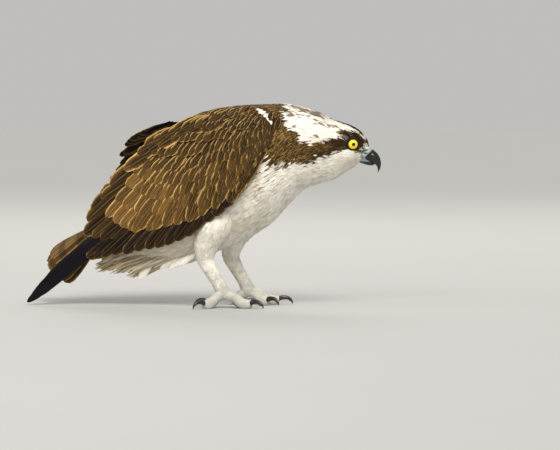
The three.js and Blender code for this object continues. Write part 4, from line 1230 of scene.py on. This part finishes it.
# A shank is knobbed by two sizes of noise
def shankSurface(line):
    u, angle = ringGrid(*footScales["shankMesh"])
    base = limbPoint(line, u, angle, 0 * u)
    lift = 0.35 * wobble(base, footScales["shank"], 41) + 0.5 * wobble(base, 8, 42)
    return closedTube(limbPoint(line, u, angle, lift))


def clawNodes(p):
    tone = p.noise(60.0, 3.0)
    grooves = p.noise(240.0, 2.0)
    colour = p.tint((0.008, 0.008, 0.010), (0.035, 0.032, 0.034), tone.step(0.4, 0.8))
    return {"Base Color": colour, "Roughness": 0.20 + tone * 0.15, "Normal": grooves.bump(0.15, 0.0003)}


clawPaint = makeMaterial("claw horn", clawNodes, {"Specular IOR Level": 0.6})

for name, leg in legs.items():
    shank = makePiece(f"shank_skin_{name}", *shankSurface(onLeg(shankShape, leg)))
    settle(shank, footPaint, "foot_skin", f"shank_{name}")
    dress(makeStocking(name, leg), "plumage_white", f"shank_{name}")
    for kindName, kind in toeKinds.items():
        line = toeLine(leg, kind)
        toe = makePiece(f"toe_skin_{kindName}_{name}", *toeSurface(line, kind))
        settle(toe, footPaint, "foot_skin", f"toe_{kindName}_{name}")
        claw = makePiece(f"claw_horn_{kindName}_{name}", *limbTube(clawLine(line), *footScales["clawMesh"]))
        settle(claw, clawPaint, "horn", f"claw_{kindName}_{name}")
print("feet made")

# Bill: pieces between an upper and a lower line of the side view, with half widths. The cere's front edge is
# black along a line, and its nostrils are slits, painted black inside as painted shade.
billShape = {
    "cere": {"upper": [(200, 232), (209, 231.5), (217.6, 228.6)],
             "lower": [(198, 213.6), (208, 211.6), (217.2, 209.6)],
             "wide": [17.4, 12.6, 7.4], "mesh": (70, 72)},
    "upper": {"upper": [(216.6, 229), (218, 228.4), (224, 223.6), (228.4, 216.5), (230, 208.8),
                        (228.9, 201.6), (225.2, 195.2)],
              "lower": [(216, 209.6), (217.6, 209.4), (220.6, 208), (223.4, 205.6), (224.9, 202.4),
                        (225.3, 198.8), (224.7, 195.6)],
              "wide": [7.1, 7, 6, 4.6, 3.2, 1.9, 0.5], "mesh": (110, 56), "keel": 0.35, "edge": 0.25},
    "lower": {"upper": [(190, 217), (203, 215), (212, 213.4), (218.5, 210.8), (221.6, 208.6)],
              "lower": [(191, 213), (201, 208.6), (211, 205.8), (217.4, 205.6), (221.4, 207.6)],
              "wide": [7.0, 7.4, 6, 3.4, 0.8], "mesh": (110, 56)},
    "blackEdge": [(209, 200), (210, 213), (208.5, 217.5), (211.5, 221.5), (215.8, 226), (218.5, 231),
                  (219, 234)],
    "nostril": {"at": (209.6, 223.4), "long": 2.3, "tall": 1.1, "depth": 1.5, "rim": 0.35},
}


# A ring of the bill: height between the two lines by the cosine, width by the sine, narrowed to a keel
def billPoint(shape, u, angle, lift):
    high, low = curveThrough(shape["upper"], u), curveThrough(shape["lower"], u)
    centre, up = (high + low) / 2, (high - low) / 2
    rise = (np.linalg.norm(up, axis=-1) + lift) * np.cos(angle)
    up = unit(up)
    wide = (track(shape["wide"], u) + lift) * (1 - shape.get("keel", 0.0) * smooth(0.2, 1, np.cos(angle)))
    x, z = centre[..., 0] + up[..., 0] * rise, centre[..., 1] + up[..., 1] * rise
    return np.stack([x, wide * np.sin(angle), z], -1)


# A piece of horn or cere with a number for each point, and one for the middle of each end
def makeHorn(name, rings, key, numbers, ends, material, slot, node):
    points, faces = closedTube(rings)
    piece = makePiece(name, points, faces, values={key: np.append(numbers.ravel(), ends)})
    settle(piece, material, slot, node)


def hornNodes(p):
    base = p.attribute("base")
    tone = p.noise(110.0, 3.0)
    fine = p.noise(500.0, 2.0, stretch=(0.25, 1.0, 1.0))
    colour = p.tint((0.006, 0.006, 0.007), (0.13, 0.16, 0.17), base)
    colour = p.tint(colour, (0.004, 0.004, 0.005), tone.step(0.5, 0.8) * 0.5)
    rough = 0.12 + tone * 0.14 + base * 0.2
    return {"Base Color": colour, "Roughness": rough, "Normal": fine.bump(0.18, 0.0003)}


hornPaint = makeMaterial("bill horn", hornNodes, {"Specular IOR Level": 0.6})


def cereNodes(p):
    # The nostril number turns the cere black: the bill's black edge and the gape's darker skin are colour,
    # the black inside the nostril slits is painted shade
    dark = p.attribute("nostril")
    tone = p.noise(160.0, 4.0)
    colour = p.tint((0.34, 0.43, 0.44), (0.13, 0.17, 0.165), tone.step(0.38, 0.70))
    colour = p.tint(colour, (0.006, 0.006, 0.007), dark)
    rough = 0.36 + tone * 0.2 - dark * 0.22
    return {"Base Color": colour, "Roughness": rough, "Normal": tone.bump(0.35, 0.0005)}


cerePaint = makeMaterial("cere skin", cereNodes, {"Specular IOR Level": 0.5})


# The cere sinks in at the nostril, inside a low rim, and the nostril is painted black as painted shade
def makeCere():
    shape, nostril = billShape["cere"], billShape["nostril"]
    u, angle = ringGrid(*shape["mesh"])
    x, y, z = np.moveaxis(billPoint(shape, u, angle, 0 * u), -1, 0)
    fromHole = np.hypot((x - nostril["at"][0]) / nostril["long"], (z - nostril["at"][1]) / nostril["tall"])
    hole = np.exp(-fromHole ** 4) * smooth(2, 5, np.abs(y))
    rim = np.exp(-(fromHole - 1.35) ** 2 * 9) * nostril["rim"]
    edge = np.array(billShape["blackEdge"], float)
    black = smooth(-1.0, 1.2, x - np.interp(z, edge[:, 1], edge[:, 0]))
    rings = billPoint(shape, u, angle, rim - nostril["depth"] * hole)
    # hole ** 0.6 is painted shade inside the nostril; black is the bill's own black edge
    makeHorn("cere_skin", rings, "nostril", np.maximum(hole ** 0.6, black), [0, 1], cerePaint, "cere", "cere")


# The upper bill has a cutting edge and is paler at its base; so is the lower one
def makeBill():
    shape = billShape["upper"]
    u, angle = ringGrid(*shape["mesh"])
    edge = np.where(np.cos(angle) < -0.55, shape["edge"], 0) * smooth(0.9, 0.6, u)
    pale = smooth(0.06, 0.0, u) * smooth(0.6, -0.6, np.cos(angle)) * 0.3
    rings = billPoint(shape, u, angle, edge)
    makeHorn("bill_upper_horn", rings, "base", pale, [0, 0], hornPaint, "horn", "bill_upper")
    shape = billShape["lower"]
    u, angle = ringGrid(*shape["mesh"])
    pale = smooth(0.5, 0.2, u) * 0.5
    rings = billPoint(shape, u, angle, 0 * u)
    makeHorn("bill_lower_horn", rings, "base", pale, [0.5, 0], hornPaint, "horn", "bill_lower")


makeCere()
makeBill()

# The corners of the mouth: two lips that run back from the bill under the eye
gape = {"points": [(214.5, 5.2, 211.7), (209, 7.4, 212.6), (204.5, 9.6, 213.4), (200, 12.6, 214.6)],
        "radii": [0.4, 0.9, 1.1, 0.4], "drops": (0.5, -0.6), "mesh": (30, 12), "dark": 0.35}


def makeGape():
    parts = []
    for side in (-1, 1):
        for drop in gape["drops"]:
            points = [(x, side * y, z + drop) for x, y, z in gape["points"]]
            parts.append(limbTube({"points": points, "radii": gape["radii"]}, *gape["mesh"]))
    points, faces = together(parts)
    return makePiece("gape_skin", points, faces, values={"nostril": np.full(len(points), gape["dark"])})


settle(makeGape(), cerePaint, "cere")

# Eyes: a ball with a bulged cornea, coloured by the angle from the way it looks, and the rim of the lids
eye = {"pupil": 15.5, "iris": 45.5, "bulge": 0.3, "mesh": (90, 72), "pole": 0.02}
lids = {"radius": 8.6, "wide": 2.0, "thick": 1.1, "forward": 5.3, "turn": 18.0, "sag": 0.5, "flat": 0.94,
        "steps": 96, "sides": 20}


def eyeNodes(p):
    angle = p.attribute("gazeAngle")
    rays = p.noise(900.0, 4.0) - 0.5
    outwards = (angle * (1 / eye["iris"]) + rays * 0.4).step(0.35, 0.9)
    iris = p.tint((1.0, 0.60, 0.002), (0.98, 0.80, 0.01), outwards)
    pupil = (angle + rays * 1.2).step(eye["pupil"] - 1, eye["pupil"] + 1)
    colour = p.tint((0.002, 0.002, 0.002), iris, pupil)
    colour = p.tint(colour, (0.003, 0.003, 0.003), angle.step(eye["iris"] - 2, eye["iris"] + 1.5))
    return {"Base Color": colour, "Roughness": 0.06 + angle.step(60, 80) * 0.3}


eyeShine = {"Specular IOR Level": 0.5, "Coat Weight": 0.35, "Coat Roughness": 0.03}
eyePaint = makeMaterial("eye", eyeNodes, eyeShine)


def lidNodes(p):
    tone = p.noise(400.0, 3.0)
    colour = p.tint((0.003, 0.003, 0.003), (0.012, 0.010, 0.009), tone)
    return {"Base Color": colour, "Roughness": 0.50 + tone * 0.2, "Normal": tone.bump(0.4, 0.0003)}


lidPaint = makeMaterial("lid skin", lidNodes, {"Specular IOR Level": 0.22})


# A way turned from up towards cross by an angle, as a unit vector
def around(up, cross, turn):
    return up * np.cos(turn)[..., None] + cross * np.sin(turn)[..., None]


# Rings round the way the eye looks, the polar angle running from the cornea to the back
def makeEye(name, centre, side):
    ahead, up, cross = gazeOf(side)
    share, turn = ringGrid(*eye["mesh"])
    polar = eye["pole"] + share * (np.pi - 2 * eye["pole"])
    radius = bird["eyeRadius"] + eye["bulge"] * smooth(0.95, 0.2, polar)
    ball = ahead * np.cos(polar)[..., None] + around(up, cross, turn) * np.sin(polar)[..., None]
    points, faces = closedTube(ball * radius[..., None] + centre)
    degrees = np.append(np.degrees(polar).ravel(), [0, 180])
    piece = makePiece(f"eyeball_{name}", points, faces, values={"gazeAngle": degrees})
    settle(piece, eyePaint, "eye", f"eye_{name}")


# The lids' rim: a ring of flat oval section, a little flatter above than below
def makeLids(name, centre, side):
    ahead, up, cross = gazeOf(side, lids["turn"])
    steps, sides = lids["steps"], lids["sides"]
    turns = lambda count: np.arange(count) / count * 2 * np.pi
    ring, tube = np.meshgrid(turns(steps), turns(sides), indexing="ij")
    wide = lids["radius"] + lids["wide"] * np.cos(tube)
    tall = np.where(np.cos(ring) > 0, lids["flat"], 1.0)
    out = lids["forward"] + lids["thick"] * np.sin(tube) - lids["sag"] * np.cos(ring) ** 2
    rim = centre + ahead * out[..., None]
    rim = rim + up * (wide * np.cos(ring) * tall)[..., None] + cross * (wide * np.sin(ring))[..., None]
    faces = gridFaces(steps + 1, sides) % (steps * sides)
    middle = rim.mean(axis=1, keepdims=True)
    outwards = np.sum(np.cross(rim[0, 1] - rim[0, 0], rim[1, 0] - rim[0, 0]) * (rim[0, 0] - middle[0, 0]))
    faces = faces if outwards > 0 else faces[:, ::-1]
    settle(makePiece(f"lids_{name}", rim.reshape(-1, 3), faces.tolist()), lidPaint, "horn")


for name, side in (("right", -1), ("left", 1)):
    centre = np.array(bird["eye"]) * [1, side, 1]
    makeEye(name, centre, side)
    makeLids(name, centre, side)
print("head made")

# Camera: far off, so that the view is nearly without perspective, at the photograph's angle and framing. The
# column where model X = 0 falls and the row of the floor are in the photograph's pixels.
photo = {"wide": 560, "tall": 450, "mmPerPixel": 1.45, "floorLine": 306, "zeroColumn": 225, "azimuth": 12.0,
         "elevation": 3.0, "distance": 6.0, "sensor": 36.0, "farthest": 100}


def makeCamera():
    a, e = math.radians(photo["azimuth"]), math.radians(photo["elevation"])
    right = np.array([math.cos(a), math.sin(a), 0])
    sideways = (photo["wide"] / 2 - photo["zeroColumn"]) * photo["mmPerPixel"]
    height = (photo["floorLine"] - photo["tall"] / 2) * photo["mmPerPixel"]
    target = (right * sideways + [0, 0, height] + offset) * mm
    away = np.array([math.sin(a) * math.cos(e), -math.cos(a) * math.cos(e), math.sin(e)])
    data = bpy.data.cameras.new("camera")
    data.sensor_width = photo["sensor"]
    data.lens = photo["sensor"] * photo["distance"] / (photo["wide"] * photo["mmPerPixel"] * mm)
    data.clip_end = photo["farthest"]
    camera = bpy.data.objects.new("camera", data)
    camera.location = target + away * photo["distance"]
    camera.rotation_euler = (math.pi / 2 - e, 0, a)
    bpy.context.scene.collection.objects.link(camera)
    bpy.context.scene.camera = camera


makeCamera()


# A pale, flat, round floor a hair below the feet
stage = {"rings": [0.001, 3000, 9000], "sides": 64, "drop": 0.2}


def floorNodes(p):
    tone = p.noise(3.0, 2.0)
    return {"Base Color": p.tint((0.46, 0.46, 0.45), (0.48, 0.48, 0.47), tone), "Roughness": 0.8 + tone * 0.1}


def makeStage():
    turns = np.arange(stage["sides"]) / stage["sides"] * 2 * np.pi
    radius, turn = np.meshgrid(stage["rings"], turns, indexing="ij")
    points = np.stack([radius * np.cos(turn), radius * np.sin(turn), 0 * turn - stage["drop"]], -1)
    faces = gridFaces(len(stage["rings"]), stage["sides"])
    floor = makePiece("floor", points.reshape(-1, 3) - offset, faces.tolist())
    floor.data.materials.append(makeMaterial("floor", floorNodes, {}))


makeStage()

# Light: a wide soft sun for the key, three soft panels for fill, rim and highlights, and a pale sky. Lamps
# turn to the aim.
aim = (0, 0, 0.15)
sun = {"from": (0.55, -0.95, 1.25), "spread": 28.0, "strength": 2.5, "colour": (1.0, 0.96, 0.89)}
panels = {
    "glint": {"at": (-0.5, -2.4, 1.9), "size": 0.9, "power": 16.0, "colour": (1.0, 0.98, 0.95)},
    "fill": {"at": (-2.2, -1.2, 1.0), "size": 2.2, "power": 12.0, "colour": (0.90, 0.95, 1.0)},
    "rim": {"at": (-0.4, 2.2, 2.2), "size": 1.6, "power": 26.0, "colour": (1.0, 0.97, 0.93)},
}
sky = {"colour": (0.93, 0.92, 0.90, 1), "strength": 0.56}
sunDistance = 3


# A lamp at a place, turned so that its -Z axis meets the bird
def makeLamp(name, kind, place, energy, colour):
    data = bpy.data.lights.new(name, kind)
    data.energy, data.color = energy, colour
    lamp = bpy.data.objects.new(name, data)
    lamp.location = place
    lamp.visible_camera = False
    x, y, z = np.array(aim) - np.array(place)
    lamp.rotation_euler = (math.atan2(math.hypot(x, y), -z), 0, math.atan2(-x, y))
    bpy.context.scene.collection.objects.link(lamp)
    return data


def makeLights():
    key = makeLamp("sun", "SUN", np.array(sun["from"]) * sunDistance, sun["strength"], sun["colour"])
    key.angle = math.radians(sun["spread"])
    for name, one in panels.items():
        makeLamp(name, "AREA", one["at"], one["power"], one["colour"]).size = one["size"]
    world = bpy.data.worlds.new("sky")
    world.use_nodes = True
    background = world.node_tree.nodes["Background"]
    background.inputs[0].default_value = sky["colour"]
    background.inputs[1].default_value = sky["strength"]
    bpy.context.scene.world = world
    bpy.context.scene.view_settings.view_transform = "Standard"


makeLights()
